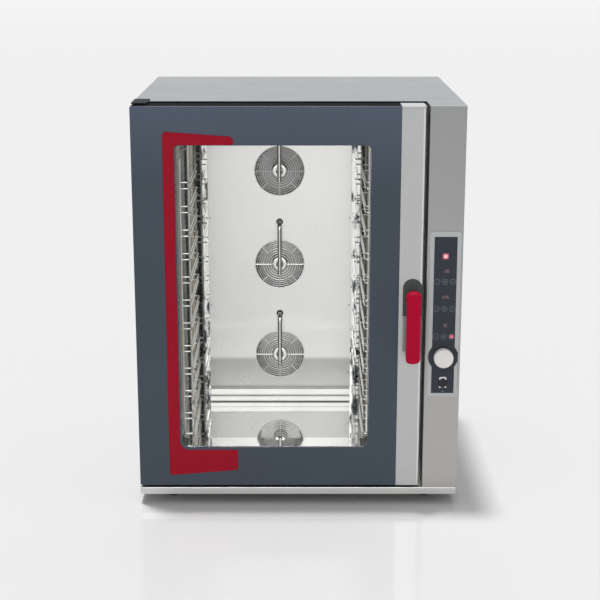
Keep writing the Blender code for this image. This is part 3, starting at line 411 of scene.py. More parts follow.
class Look:
    """A node material. Patterns are placed by the piece's own coordinates, in metres."""

    def __init__(self, name, **settings):
        self.material = bpy.data.materials.new(name)
        self.material.use_nodes = True
        self.tree = self.material.node_tree
        self.shader = self.tree.nodes["Principled BSDF"]
        for socket, value in settings.items():
            self.shader.inputs[socket.replace("_", " ")].default_value = value
        self.place = self.add("ShaderNodeTexCoord").outputs["Object"]

    def add(self, kind, inputs=(), **settings):
        return node_in(self.tree, kind, inputs, **settings)

    def noise(self, scale, detail=3.0, stretch=(1, 1, 1), roughness=0.55):
        place = self.add("ShaderNodeMapping", {"Vector": self.place, "Scale": stretch})
        inputs = {"Vector": place.outputs[0], "Scale": scale, "Detail": detail, "Roughness": roughness}
        return self.add("ShaderNodeTexNoise", inputs).outputs["Fac"]

    def ramp(self, value, start, end, low=0.0, high=1.0):
        """Goes from low to high while the value goes from start to end."""
        inputs = {"Value": value, "From Min": start, "From Max": end, "To Min": low, "To Max": high}
        return self.add("ShaderNodeMapRange", inputs).outputs[0]

    def spread(self, pattern, low=0.0, high=1.0):
        """A noise pattern, spread over a range."""
        return self.ramp(pattern, 0.3, 0.7, low, high)

    def math(self, operation, first, second=0.0):
        return self.add("ShaderNodeMath", {0: first, 1: second}, operation=operation).outputs[0]

    def axes(self):
        return self.add("ShaderNodeSeparateXYZ", {0: self.place}).outputs

    def tint(self, factor, first, second):
        inputs = {"Factor": factor, 6: first, 7: second}
        return self.add("ShaderNodeMix", inputs, data_type="RGBA").outputs[2]

    def clouds(self, pattern, colour, low, high):
        """A colour that a pattern makes darker and lighter."""
        return self.tint(self.spread(pattern), shade(colour, low), shade(colour, high))

    def clouds_and_height_shade(self, pattern, colour, tone, top, start, end):
        """Clouds of a colour that drifts to the top colour, if there is one, between two heights: painted
        light that changes with height.
        """
        first, second = shade(colour, 1 - tone), shade(colour, 1 + tone)
        if top:
            rise = self.ramp(self.axes()["Z"], start, end)
            first = self.tint(rise, first, shade(top, 1 - tone))
            second = self.tint(rise, second, shade(top, 1 + tone))
        return self.tint(self.spread(pattern), first, second)

    def set(self, **sockets):
        for socket, value in sockets.items():
            self.tree.links.new(value, self.shader.inputs[socket.replace("_", " ")])

    def bump(self, height, strength, distance):
        """The last step of a material: it gives the material back."""
        inputs = {"Height": height, "Strength": strength, "Distance": distance}
        self.set(Normal=self.add("ShaderNodeBump", inputs).outputs[0])
        return self.material


def steel(name, colour, roughness, grain="Z", tone=0.05, top=None):
    """Stainless sheet: fine lines along the grain, faint clouds and wiped smudges.

    top is painted shade: the darker colour that it drifts to towards the oven's top.
    """
    look = Look(name, Metallic=1.0)
    fine, coarse = {"X": ((0.02, 1, 1), (0.3, 1, 1)), "Z": ((1, 1, 0.02), (1, 1, 0.02))}[grain]
    lines, cloud, smudge = look.noise(1400, 2, fine), look.noise(3.5, 2, coarse), look.noise(16, 5)
    body = look.clouds_and_height_shade(cloud, colour, tone, top, 0.05, 1.17)
    look.set(Base_Color=look.tint(look.spread(lines, 0.0, 0.16), body, shade(colour, 0.6)))
    mixed = look.math("ADD", look.spread(lines, -0.03, 0.03), look.spread(smudge, 0.0, 0.06))
    look.set(Roughness=look.math("ADD", mixed, roughness))
    return look.bump(lines, 0.12, 0.0002)


def mirror(name, colour, roughness, wave=0.25):
    """Bright rolled steel: nearly a mirror, slightly wavy, with a film of wiped marks."""
    look = Look(name, Metallic=1.0)
    film, marks = look.noise(9, 4), look.noise(60, 4, (1, 1, 0.3))
    look.set(Base_Color=look.clouds(film, colour, 0.95, 1.04))
    mixed = look.math("ADD", look.spread(film, 0.0, 0.05), look.spread(marks, 0.0, 0.03))
    look.set(Roughness=look.math("ADD", mixed, roughness))
    return look.bump(look.noise(7, 1), wave, 0.004)


def liner_steel(name):
    """The cavity's bright steel, duller on its sides, with painted shade and reflection: near-black on the
    side walls towards the baffle, and dark and light patches on the back wall beside it.
    """
    look = Look(name, Metallic=1.0)
    x, y, z = look.axes()
    away = look.math("ABSOLUTE", look.math("SUBTRACT", x, CAVITY_X))
    film, shade_patches = look.noise(9, 4), look.noise(38, 3, (1, 1, 0.4), 0.62)
    bright = look.tint(look.spread(film), (0.92, 0.915, 0.905), (0.96, 0.955, 0.945))
    dull = look.tint(look.spread(film), (0.58, 0.545, 0.47), (0.70, 0.665, 0.59))
    # Painted shade and reflection: dark and light patches for the back wall beside the baffle.
    dark = look.tint(look.ramp(shade_patches, 0.37, 0.49), (0.045, 0.055, 0.060), (0.80, 0.80, 0.79))
    dark = look.tint(look.ramp(away, 0.270, 0.276), dark, dull)
    at_side = look.ramp(away, 0.293, 0.298)
    # Painted shade: near-black for the side walls, from just in front of the baffle back.
    dark = look.tint(at_side, dark, (0.020, 0.030, 0.036))
    body = look.tint(at_side, bright, dull)
    # Where the painted shade goes: the side walls towards the baffle, and the back wall beside it.
    side = look.math("MULTIPLY", at_side, look.ramp(y, -0.03, 0.02))
    back = look.math("MULTIPLY", look.ramp(away, 0.20, 0.21), look.ramp(y, 0.05, 0.12))
    body = look.tint(look.math("MAXIMUM", side, back), body, dark)
    look.set(Base_Color=look.tint(look.ramp(z, 0.164, 0.166, 1.0, 0.0), body, bright))
    side_rough = look.ramp(away, 0.293, 0.298, 0.0, 0.32)
    rough = look.math("MULTIPLY", side_rough, look.ramp(y, 0.05, 0.12, 1.0, 0.4))
    look.set(Roughness=look.math("ADD", look.spread(film, 0.012, 0.03), rough))
    return look.bump(look.noise(7, 1), 0.05, 0.004)


def baffle_steel(name, colour):
    """The baffle's satin sheet, with painted shade: a little darker towards the hinge side, and darker in a
    band above its foot.
    """
    look = Look(name, Metallic=1.0)
    x, _, z = look.axes()
    film = look.noise(9, 4)
    body = look.clouds(film, colour, 0.97, 1.03)
    # Painted shade: a little darker towards the hinge side, and darker in a band above the foot.
    painted_shade = look.math("MULTIPLY", look.ramp(x, -0.28, 0.16, 0.86), look.ramp(z, 0.296, 0.308, 0.60))
    look.set(Base_Color=look.tint(painted_shade, (0.0, 0.0, 0.0), body))
    look.set(Roughness=look.spread(film, 0.27, 0.32))
    return look.bump(look.noise(7, 1), 0.03, 0.004)


def zinc(name, colour):
    """Zinc-coated sheet, with the coat's large crystals."""
    look = Look(name, Metallic=1.0)
    crystals = look.add("ShaderNodeTexVoronoi", {"Vector": look.place, "Scale": 130.0})
    spangle = look.add("ShaderNodeSeparateColor", {0: crystals.outputs["Color"]}).outputs[0]
    dust = look.noise(30, 5)
    body = look.tint(spangle, shade(colour, 0.86), shade(colour, 1.12))
    look.set(Base_Color=look.tint(look.spread(dust, 0.0, 0.25), body, shade(colour, 0.7)))
    look.set(Roughness=look.ramp(spangle, 0.0, 1.0, 0.34, 0.52))
    return look.bump(dust, 0.08, 0.0003)


def plastic(name, colour, roughness, level=0.5, grain=900, depth=0.10, tone=0.04):
    """Moulded plastic or enamel: a fine even grain and slight unevenness of tone and gloss."""
    look = Look(name, Specular_IOR_Level=level)
    cloud, fine = look.noise(14, 4), look.noise(grain, 2)
    body = look.clouds(cloud, colour, 1 - tone, 1 + tone)
    look.set(Base_Color=look.tint(look.spread(fine, 0.0, 0.12), body, shade(colour, 0.75)))
    look.set(Roughness=look.spread(cloud, roughness - 0.04, roughness + 0.05))
    return look.bump(fine, depth, 0.0002)


def dusty(name, colour, dust, roughness=0.7, scale=220, level=0.5):
    """Rubber, silicone or wool: soft, with pale dust in its pores."""
    look = Look(name, Specular_IOR_Level=level)
    fine, cloud = look.noise(scale, 5), look.noise(25, 4)
    body = look.clouds(cloud, colour, 0.85, 1.2)
    look.set(Base_Color=look.tint(look.ramp(fine, 0.45, 0.75, 0.0, 0.45), body, dust))
    look.set(Roughness=look.spread(fine, roughness - 0.08, roughness + 0.12))
    return look.bump(fine, 0.35, 0.0006)


def printed(name, colour, roughness=0.045, level=0.20, tone=0.05, top=None):
    """Enamel print seen through polished glass, with faint clouds and dust.

    top is a painted reflection: the lighter colour that it drifts to towards the door's top.
    """
    look = Look(name, Specular_IOR_Level=level)
    cloud, specks = look.noise(2.2, 2), look.noise(500, 3)
    body = look.clouds_and_height_shade(cloud, colour, tone, top, 0.95, 1.17)
    look.set(Base_Color=look.tint(look.ramp(specks, 0.55, 0.8, 0.0, 0.08), body, (0.4, 0.4, 0.4)))
    look.set(Roughness=look.spread(look.noise(12, 5), roughness, roughness + 0.05))
    return look.bump(look.noise(6, 1), 0.02, 0.002)


def pane(name, clear=(0.968, 0.970, 0.968), floor=0.006):
    """Clear glass: it reflects more at a slant, and is barely tinted and smeared."""
    look = Look(name)
    facing = look.add("ShaderNodeLayerWeight", {"Blend": 0.5}).outputs["Facing"]
    share = look.math("MULTIPLY_ADD", look.math("POWER", facing, 5.0), 1 - floor)
    share.node.inputs[2].default_value = floor
    smear = look.spread(look.noise(18, 5), 0.012, 0.03)
    through = look.add("ShaderNodeBsdfTransparent", {"Color": clear})
    gloss = look.add("ShaderNodeBsdfAnisotropic", {"Color": (0.92, 0.94, 0.94), "Roughness": smear})
    mixed = look.add("ShaderNodeMixShader", {0: share, 1: through.outputs[0], 2: gloss.outputs[0]})
    look.tree.nodes.remove(look.shader)
    look.tree.links.new(mixed.outputs[0], look.tree.nodes["Material Output"].inputs["Surface"])
    return look.material


def lit(name, colour, glow, strength):
    """A lamp or digit behind a dark window."""
    look = Look(name, Roughness=0.25, Emission_Color=(*glow, 1.0))
    uneven = look.noise(260, 2)
    look.set(Base_Color=look.clouds(uneven, colour, 0.9, 1.1))
    look.set(Emission_Strength=look.spread(uneven, strength * 0.85, strength * 1.1))
    return look.material


# The record's material slots, and then the looks that only some pieces have.
LOOKS = {name: make(name, *settings) for make, name, *settings in (
    (steel, "brushed_steel", (0.50, 0.505, 0.50), 0.34),
    # column_steel's last colour is painted shade: the column darkens towards its top.
    (steel, "column_steel", (0.49, 0.48, 0.465), 0.36, "Z", 0.02, (0.335, 0.34, 0.34)),
    (mirror, "mirror_steel", (0.70, 0.695, 0.68), 0.10),
    (zinc, "galvanised_steel", (0.46, 0.475, 0.48)),
    (mirror, "wire_steel", (0.94, 0.935, 0.925), 0.34, 0.1),
    (steel, "heater_steel", (0.22, 0.20, 0.18), 0.42, "X", 0.2),
    (dusty, "mineral_wool", (0.50, 0.44, 0.30), (0.75, 0.70, 0.55), 0.9, 120),
    (dusty, "silicone", (0.018, 0.018, 0.020), (0.10, 0.10, 0.10), 0.55),
    # printed_glass's last colour is a painted reflection: the print lightens towards the door's top.
    (printed, "printed_glass", (0.058, 0.076, 0.102), 0.045, 0.20, 0.05, (0.088, 0.110, 0.152)),
    (pane, "clear_glass"),
    (plastic, "door_black", (0.020, 0.023, 0.028), 0.42, 0.4),
    (plastic, "cap_grey", (0.52, 0.53, 0.52), 0.38),
    (plastic, "plate_grey", (0.060, 0.074, 0.072), 0.38, 0.3),
    (plastic, "lever_red", (0.46, 0.001, 0.030), 0.22, 0.09, 700, 0.04, 0.03),
    (plastic, "bezel_grey", (0.49, 0.505, 0.51), 0.34, 0.5),
    (plastic, "overlay_black", (0.023, 0.031, 0.042), 0.30, 0.35, 1200, 0.05),
    (plastic, "board_green", (0.020, 0.100, 0.050), 0.42, 0.5, 400),
    (plastic, "knob_grey", (0.82, 0.81, 0.78), 0.36, 0.4),
    (plastic, "button_black", (0.012, 0.012, 0.014), 0.36, 0.4),
    (plastic, "fan_black", (0.030, 0.030, 0.032), 0.45),
    (plastic, "motor_grey", (0.13, 0.14, 0.15), 0.45, 0.5, 300, 0.3),
    (dusty, "foot_rubber", (0.020, 0.020, 0.022), (0.12, 0.12, 0.12)),
    (liner_steel, "liner_steel"),
    (steel, "roof_steel", (0.425, 0.45, 0.47), 0.32, "X", 0.04),
    # profile_steel's last colour is painted shade: a little darker towards the top.
    (steel, "profile_steel", (0.55, 0.55, 0.545), 0.33, "Z", 0.03, (0.505, 0.51, 0.51)),
    # A lighter copy of the profile's steel for its rounded corner: a painted highlight.
    (steel, "corner_steel", (0.72, 0.72, 0.71), 0.26, "Z", 0.03),
    (plastic, "hinge_black", (0.016, 0.020, 0.020), 0.6, 0.12, 500, 0.3, 0.15),
    (steel, "base_steel", (0.70, 0.70, 0.68), 0.34, "X", 0.03),
    (baffle_steel, "bright_steel", (0.845, 0.84, 0.83)),
    (steel, "blade_steel", (0.50, 0.50, 0.50), 0.38, "Z", 0.1),
    (mirror, "step_steel", (0.66, 0.655, 0.64), 0.12, 0.03),
    (mirror, "sill_steel", (0.84, 0.835, 0.82), 0.015, 0.02),
    (dusty, "shadow_black", (0.006, 0.006, 0.007), (0.020, 0.020, 0.020), 0.8, 220, 0.05),
    (mirror, "guard_steel", (0.95, 0.945, 0.93), 0.42, 0.05),
    (mirror, "hub_steel", (0.80, 0.79, 0.77), 0.18, 0.05),
    (printed, "band_red", (0.34, 0.001, 0.0155), 0.045, 0.13, 0.04),
    (plastic, "lower_grey", (0.27, 0.27, 0.275), 0.42, 0.4),
    (plastic, "print_white", (0.72, 0.73, 0.73), 0.5, 0.3, 1500),
    (plastic, "print_faint", (0.13, 0.17, 0.20), 0.5, 0.3, 1500),
    (printed, "display_black", (0.020, 0.022, 0.030), 0.06, 0.4),
    (lit, "digit_red", (0.30, 0.16, 0.20), (0.45, 0.25, 0.30), 0.35),
    (lit, "lamp_pink", (0.55, 0.10, 0.14), (0.75, 0.16, 0.22), 0.32),
    (lit, "lamp_white", (0.70, 0.50, 0.53), (1.0, 0.72, 0.76), 0.35),
    (lit, "lamp_warm", (0.85, 0.85, 0.80), (1.0, 0.95, 0.85), 0.8),
)}


def piece(shape, name, slot, node=None, look=None, body="root", sharp=32):
    """Makes the shape a piece of the oven that moves with a body and may stand for a CAD node."""
    bmesh.ops.recalc_face_normals(shape.mesh, faces=shape.mesh.faces)
    mesh = bpy.data.meshes.new(name)
    shape.mesh.to_mesh(mesh)
    shape.mesh.free()
    mesh.shade_smooth()
    mesh.set_sharp_from_angle(angle=radians(sharp))
    mesh.materials.append(LOOKS[look or slot])
    item = placed(name, mesh)
    item.modifiers.new("even", "WEIGHTED_NORMAL").keep_sharp = True
    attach(item, body)
    if node:
        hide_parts(node)
    return item


# ---- cabinet ----

def roof():
    """A lid with a rounded fold and a skirt below it, and a black strip along its front: a seal, and painted
    shade over the lid's front fold.
    """
    fold = 0.003
    lid = outline(
        (LEFT, ROOF_FRONT_EDGE, fold), (COLUMN_LEFT, ROOF_FRONT_EDGE, 0.001), (COLUMN_LEFT, FRONT, 0.002),
        (RIGHT, FRONT, fold), (RIGHT, REAR, fold), (LEFT, REAR, fold),
    )
    sheet = Shape().prism([lid], ROOF - fold, ROOF, "Z", 0.0, 0.0018, 5)
    path = [(RIGHT, FRONT + 0.0203), (RIGHT, REAR), (LEFT, REAR), (LEFT, ROOF_FRONT_EDGE)]
    path.append((COLUMN_LEFT - GAP, ROOF_FRONT_EDGE))
    sheet.prism([ribbon(path, SHEET, fold)], ROOF_SKIRT, ROOF - fold, "Z", 0.0003, 0.0)
    for x, side in ((LEFT, -1), (RIGHT, 1)):
        for y in (-0.20, 0.08, 0.36):
            sheet.screw((x, y, ROOF_SKIRT + 0.0065), (side, 0, 0))
    piece(sheet, "roof_sheet", "brushed_steel", "roof_panel", "roof_steel")
    # A black strip that is partly a seal and partly painted shade: it covers the lid's front fold, so that
    # the gap there reads dark.
    strip = Shape().box((LEFT + 0.004, ROOF_FRONT_EDGE - 0.0035, CASE_TOP + GAP),
                        (COLUMN_LEFT - 0.002, ROOF_FRONT_EDGE + 0.0014, ROOF - 0.0001), 0.0004)
    piece(strip, "roof_front_seal_and_shade", "silicone", look="shadow_black")


def louvre(shape, x, y, z):
    """A pressed louvre on the right side panel, open along its lower edge."""
    half, height, rise, thickness = 0.055, 0.012, 0.0045, 0.0009
    rows, columns = 6, 14
    loops = []
    for row in range(rows + 1):
        drop, ring = row / rows, []
        for column in range(columns + 1):
            across = -1 + 2 * column / columns
            swell = rise * sin(pi / 2 * drop) * sqrt(max(0.0, 1 - across**4))
            ring.append(Vector((x + swell, y + half * across, z - height * drop)))
        loops.append(ring + [point - Vector((thickness, 0, 0)) for point in ring[::-1]])
    shape.skin(loops)


def side_panels():
    """Side sheets with rounded folds and screws, and louvres on the control side."""
    openings = Shape()
    for side, word in ((-1, "left"), (1, "right")):
        low, high = box_of(f"{word}_side_panel")
        x, lip = (low[0], high[0]) if side < 0 else (high[0], low[0])
        sheet = Shape().tray(oblong(low[1], low[2], high[1], high[2], 0.004), x, lip, "X")
        for y in (low[1] + 0.012, high[1] - 0.012):
            for z in (0.12, 0.47, 0.82, 1.12):
                sheet.screw((x, y, z), (side, 0, 0))
        for y in (0.06, 0.20) if side > 0 else ():
            for z in (0.44 - 0.028 * row for row in range(9)):
                louvre(sheet, x, y, z)
                openings.box((x, y - 0.050, z - 0.0118), (x + 0.0012, y + 0.050, z - 0.004), 0.0002)
        piece(sheet, f"{word}_sheet", "brushed_steel", f"{word}_side_panel")
    piece(openings, "louvre_openings", "button_black")


def back_sheet():
    """The back, with holes for the services, pressed stiffening ribs and screws round its edge."""
    low, high = box_of("back_panel")
    drain, vent = (-0.060, 0.0505, 0.0158), (0.203, middle_of("vent_pipe")[2], 0.0258)
    inlet, cable, fan = (0.330, 0.120, 0.0138), (0.400, 0.120, 0.0108), (COOLING_X, COOLING_Z, 0.042, 64)
    holes = [circle(*hole) for hole in (drain, vent, inlet, cable, fan)]
    sheet = Shape().prism([face_of(low, high, 0.003), *holes], low[1], high[1], "Y", 0.0003)
    screws = [(x, z) for x in (-0.44, -0.22, 0.0, 0.22, 0.44) for z in (low[2] + 0.014, high[2] - 0.014)]
    screws += [(x, z) for z in (0.25, 0.45, 0.65, 0.85) for x in (-0.452, 0.452)]
    for x, z in screws:
        sheet.screw((x, high[1], z), BACKWARD)
    piece(sheet, "back_sheet", "galvanised_steel", "back_panel")
    ribs = Shape()
    for z in (0.42, 0.62, 0.82):
        loops = [around(-0.15, z, 0.25, 0.075, 0.02), around(-0.15, z, 0.238, 0.063, 0.012)]
        ribs.prism(loops, high[1] - 0.0002, high[1] + 0.0022, "Y", 0.0, 0.002)
    piece(ribs, "back_ribs", "galvanised_steel")


def column():
    """The control column's sheet, with rounded folds, and a window behind the control panel."""
    path = [(COLUMN_LEFT, ROOF_FRONT_EDGE - GAP), (COLUMN_LEFT, FRONT), (RIGHT, FRONT), (RIGHT, FRONT + 0.02)]
    sheet = Shape().prism([ribbon(path, SHEET, 0.0035)], COLUMN_LOW, ROOF - 0.0032, "Z", 0.0003)
    window = Shape().box((OVERLAY_LOW[0] + 0.014, FRONT - 0.02, OVERLAY_LOW[2] + 0.003),
                         (OVERLAY_HIGH[0] - 0.014, FRONT + 0.01, OVERLAY_HIGH[2] - 0.003), 0.0)
    sheet.combined(window)
    # The column's steel darkens towards the top: painted shade.
    piece(sheet, "column_sheet", "column_steel", "control_fascia")


def base():
    """The base pan with a rounded fold, notched at the back for the drain."""
    pan = Shape().tray(oblong(LEFT, FRONT, RIGHT, REAR, 0.005), BASE_TOP, BASE_LOW, "Z", 0.002)
    low, high = box_of("drain_pipe")
    notch = Shape().box((low[0] - 0.0006, low[1] - 0.001, BASE_LOW - 0.01),
                        (high[0] + 0.0006, REAR + 0.01, BASE_TOP + 0.01), 0.0)
    pan.combined(notch)
    piece(pan, "base_pan", "brushed_steel", "base_frame", "base_steel")
    strip = Shape().box((LEFT + 0.03, CASE_FRONT - 0.012, BASE_TOP + GAP),
                        (COLUMN_LEFT - 0.004, CASE_FRONT - GAP, BASE_TOP + 0.006), 0.0015)
    piece(strip, "base_front_seal", "silicone")


def feet():
    """Levelling feet: a threaded stud, a nut and a rubber pad."""
    pad = mm((0, 0), (22.5, 0), (24, 1.5), (24, 7.5), (22.5, 9.5), (13, 11.5), (10.5, 12.5), (0, 12.5))
    nut = mm((0, 12.5), (12.5, 12.5), (13.5, 13.5), (13.5, 18.5), (12.5, 19.5), (0, 19.5))
    groove, crest, pitch = 8.5, 9.6, 1.15
    thread = []
    for turn in range(8):
        thread += [(groove, 20.5 + turn * pitch), (crest, 21.1 + turn * pitch)]
    stud = mm((0, 19.5), (groove, 19.5), *thread, (groove, 29.7), (0, 29.7))
    for depth, y in (("front", -0.285), ("rear", 0.285)):
        for side, x in (("left", -0.375), ("right", 0.375)):
            spot = (x, y, 0.0)
            rubber = Shape().lathe(pad, spot, UP, 40)
            piece(rubber, f"pad_{depth}_{side}", "foot_rubber", f"foot_{depth}_{side}")
            metal = Shape().lathe(nut, spot, UP, 6).lathe(stud, spot, UP, 24)
            piece(metal, f"stud_{depth}_{side}", "galvanised_steel")


# ---- cavity ----

CAVITY_SHEETS = [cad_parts["cavity_liner"]]


def seal():
    """The door's gasket, a rounded ring round the mouth."""
    low, high = box_of("door_seal")
    loops = [face_of(low, high, 0.020), face_of(low, high, 0.008, 0.014)]
    ring = Shape().prism(loops, low[1], high[1], "Y", 0.0065, 0.001, 5)
    piece(ring, "mouth_gasket", "silicone", "door_seal")


def baffle():
    """The sheet in front of the fans: round intakes, folded sides, fixings and a stepped foot below."""
    left, right, low, top = BAFFLE_LOW[0], BAFFLE_HIGH[0], BAFFLE_LOW[2], BAFFLE_HIGH[2]
    holes = []
    for level, z in FAN_LEVELS.items():
        holes.append(circle(FAN_X, z, GUARD_RADIUS - 0.005, 72))
        holes.append(circle(FAN_X, z + PIPE_RISES[level], 0.0105, 32))
    loop = outline((left, low, 0.0), (right, low, 0.0), (right, top, 0.006), (left, top, 0.006))
    sheet = Shape().prism([loop, *holes], BAFFLE, BAFFLE + SHEET)
    CAVITY_SHEETS.append(piece(sheet, "baffle_sheet", "mirror_steel", "fan_baffle", "bright_steel"))
    foot_left, foot_front, foot_low = FOOT_LOW
    foot_right, foot_top, step = FOOT_HIGH[0], FOOT_HIGH[2], 0.182
    path = [(BAFFLE + 0.004, foot_top), (BAFFLE - 0.018, foot_top), (BAFFLE - 0.018, step)]
    path += [(foot_front, step), (foot_front, foot_low)]
    steps = Shape().prism([ribbon(path, SHEET, 0.0026)], foot_left, foot_right, "X", 0.0003)
    CAVITY_SHEETS.append(piece(steps, "baffle_steps", "mirror_steel", "baffle_foot", "step_steel"))
    joint = Shape().box((foot_left, foot_front - 0.0016, foot_low),
                        (foot_right, foot_front - GAP, foot_low + 0.0032), 0.0004)
    piece(joint, "foot_joint", "silicone", look="lower_grey")
    sides = Shape()
    for x in (left + 0.001, right - 0.0025):
        sides.box((x, BAFFLE + SHEET + GAP, low + 0.003), (x + SHEET, 0.1600, top - 0.02), 0.0003)
    stud = mm((0, 3.5), (1.8, 3.5), (2.8, 2.5), (3.2, 1.2), (3.2, 0), (0, 0))
    for x in (left + 0.006, right - 0.006):
        for z in (low + 0.045, 0.480, 0.765, top - 0.030):
            sides.lathe(stud, (x, BAFFLE, z), sides=24)
    piece(sides, "baffle_fixings", "mirror_steel", look="hub_steel")


def guards():
    """Round wire guards: fine rings, a stout one halfway, spokes outside it and a bright annular hub."""
    rings = mm((29, 1.6), (36.5, 1.6), (43.7, 1.5), (51.5, 1.8), (57.8, 1.1), (64.1, 1.1), (70.6, 1.1),
               (77, 1.3))
    section = mm((10.5, 0.8), (12, 2.2), (16.5, 2.6), (21, 2), (23, 0.6), (22, 0), (11.5, 0))
    for level, z in FAN_LEVELS.items():
        wires = Shape()
        for radius, thick in rings:
            wires.hoop((FAN_X, BAFFLE - 0.0019, z), radius, thick, 72)
        for spoke, turn in enumerate(turns(8)):
            spot, inner = Vector((FAN_X, BAFFLE - 0.0038, z)), 0.0500 if spoke % 2 else 0.0230
            wires.tube([spot + outward(turn) * inner, spot + outward(turn) * 0.0790], 0.0018, 8)
        piece(wires, f"guard_wires_{level}", "wire_steel", f"fan_guard_{level}", "guard_steel")
        hub = Shape().lathe(section, (FAN_X, BAFFLE - 0.0006, z), FORWARD, 56, closed=True)
        piece(hub, f"guard_hub_{level}", "wire_steel", look="hub_steel")


def steam_pipes():
    """Bright tubes that come forward through the baffle and end open in front of the fans."""
    radius, front = 0.0065, BAFFLE - 0.024
    mouth = mm((0, 12.5), (6.5, 12.5), (6.5, 0.5), (6, 0), (5.4, 0.5), (5.3, 11.5), (0, 11.5))
    hole = mm((0, 0), (4.8, 0), (4.6, 0.8), (3.6, 1.2), (0, 0.8))
    for level, z in FAN_LEVELS.items():
        top, end = z + PIPE_RISES[level], z - PIPE_DROP
        path = [(FAN_X, 0.1647, top), (FAN_X, front, top), (FAN_X, front, end + 0.012)]
        tube = Shape().tube(path, radius, 24, 0.022).lathe(mouth, (FAN_X, front, end), UP, 24)
        piece(tube, f"steam_tube_{level}", "mirror_steel", f"steam_pipe_{level}")
        nozzle = Shape().lathe(hole, (FAN_X, front - radius + 0.0018, end + 0.0065), sides=28)
        piece(nozzle, f"steam_nozzle_{level}", "button_black")


def heaters():
    """Ring heaters of smooth tube, round the fans."""
    half_gap = 12
    for level, z in FAN_LEVELS.items():
        ring = arc(FAN_X, z, 0.125, half_gap - 90, 270 - half_gap, 72)
        points = [Vector((p.x, 0.130, p.y)) for p in ring]
        ends = [Vector((points[i].x, 0.1640, points[i].z)) for i in (0, -1)]
        coil = Shape().tube([ends[0], *points, ends[1]], 0.0038, 12)
        piece(coil, f"heater_coil_{level}", "heater_steel", f"heater_ring_{level}")


def wheels():
    """Fan wheels: back disc, curved blades and front ring, on a hub with its nut."""
    disc = mm((0, 228), (8, 228), (8, 148), (104.5, 148), (105, 147.5), (105, 146.5), (104.5, 146), (24, 146),
              (18, 140), (18, 118), (16.5, 116.5), (0, 116.5))
    ring = mm((94.5, 108), (104.5, 108), (105, 108.5), (104.5, 109.5), (94.5, 109.5))
    nut = mm((0, 116.5), (11.5, 116.5), (12.5, 115.5), (12.5, 108), (11.5, 107), (0, 107))
    end = mm((0, 107), (5, 107), (5, 105), (4, 104), (0, 104))
    inner, outer, sweep, half_thickness, near, far = 0.066, 0.103, 0.32, 0.0006, 0.1085, 0.1465
    for level, z in FAN_LEVELS.items():
        spot = Vector((FAN_X, 0.0, z))
        wheel = Shape().lathe(disc, spot, BACKWARD, 72).lathe(ring, spot, BACKWARD, 72, closed=True)
        for turn in turns(20):
            rings = []
            for step in range(9):
                share = step / 8
                lean = turn + sweep * share**1.5
                middle = spot + outward(lean) * (inner + (outer - inner) * share)
                side = outward(lean + pi / 2) * half_thickness
                corners = ((side, near), (-side, near), (-side, far), (side, far))
                rings.append([middle + across + Vector((0, y, 0)) for across, y in corners])
            wheel.skin(rings)
        piece(wheel, f"wheel_{level}", "mirror_steel", f"fan_wheel_{level}", "blade_steel", f"{level}_fan")
        metal = Shape().lathe(nut, spot, BACKWARD, 6).lathe(end, spot, BACKWARD, 24)
        piece(metal, f"wheel_nut_{level}", "mirror_steel", None, "hub_steel", f"{level}_fan")


def racks():
    """Racks of round wire: two upright bars, pairs of runners, a low rail and feet to the wall."""
    (_, _, bottom), (_, _, top) = box_of("rack_left")
    front, rear = -0.247, 0.053
    lowest, pitch, pair, wire, rail, bend = 0.239, 0.0701, 0.018, 0.0024, 0.0042, 0.006
    foot = mm((0, 0), (4.5, 0), (5, 0.5), (5, 3), (3.5, 4), (3.5, 16), (0, 16))
    for side, word in ((-1, "left"), (1, "right")):
        inner, outer, root, tip, wall = (CAVITY_X + side * x for x in (0.278, 0.285, 0.2815, 0.2555, 0.2995))
        rack = Shape()
        for y in (front, rear):
            rack.box((min(inner, outer), y - 0.005, bottom), (max(inner, outer), y + 0.005, top), 0.0018, 3)
        bars = [(lowest + pitch * step - drop, wire) for step in range(11) for drop in (0, pair)]
        for z, thick in [*bars, (bottom + 0.005, rail)]:
            rack.tube([(root, front, z), (tip, front, z), (tip, rear, z), (root, rear, z)], thick, 12, bend)
        for y in (front, rear):
            for z in (bottom + 0.030, top - 0.020):
                rack.lathe(foot, (wall, y, z), (-side, 0, 0), 20)
        piece(rack, f"wire_rack_{word}", "wire_steel", f"rack_{word}")


def strainer():
    """A dished strainer over the drain, with rings of small holes."""
    x, y, (low, high) = CAVITY_X, 0.125, box_of("drain_filter")
    holes = []
    for radius, count in ((0.008, 6), (0.015, 12), (0.022, 18)):
        holes += [circle(x + radius * cos(turn), y + radius * sin(turn), 0.0018, 12) for turn in turns(count)]
    disc = Shape().prism([circle(x, y, 0.034, 64), *holes], low[2], high[2], "Z", 0.0, 0.0010)
    piece(disc, "floor_strainer", "mirror_steel", "drain_filter")


def lamp():
    """The cavity's lamp: a steel collar, and a domed glass over a warm light."""
    x, y, _ = middle_of("cavity_lamp")
    spot = (x, y, box_of("cavity_lamp")[1][2])
    collar = mm((26, 0), (34, 0), (34, 4), (32, 6), (27, 6), (26, 5))
    piece(Shape().lathe(collar, spot, DOWN, 56, closed=True), "lamp_collar", "mirror_steel")
    dome = mm((0, 0.5), (25.8, 0.5), (25.8, 7), (24, 10.5), (18, 13.5), (8, 14.8), (0, 15))
    piece(Shape().lathe(dome, spot, DOWN), "lamp_glass", "clear_glass", "cavity_lamp", "lamp_warm")


# ---- hinges and services ----

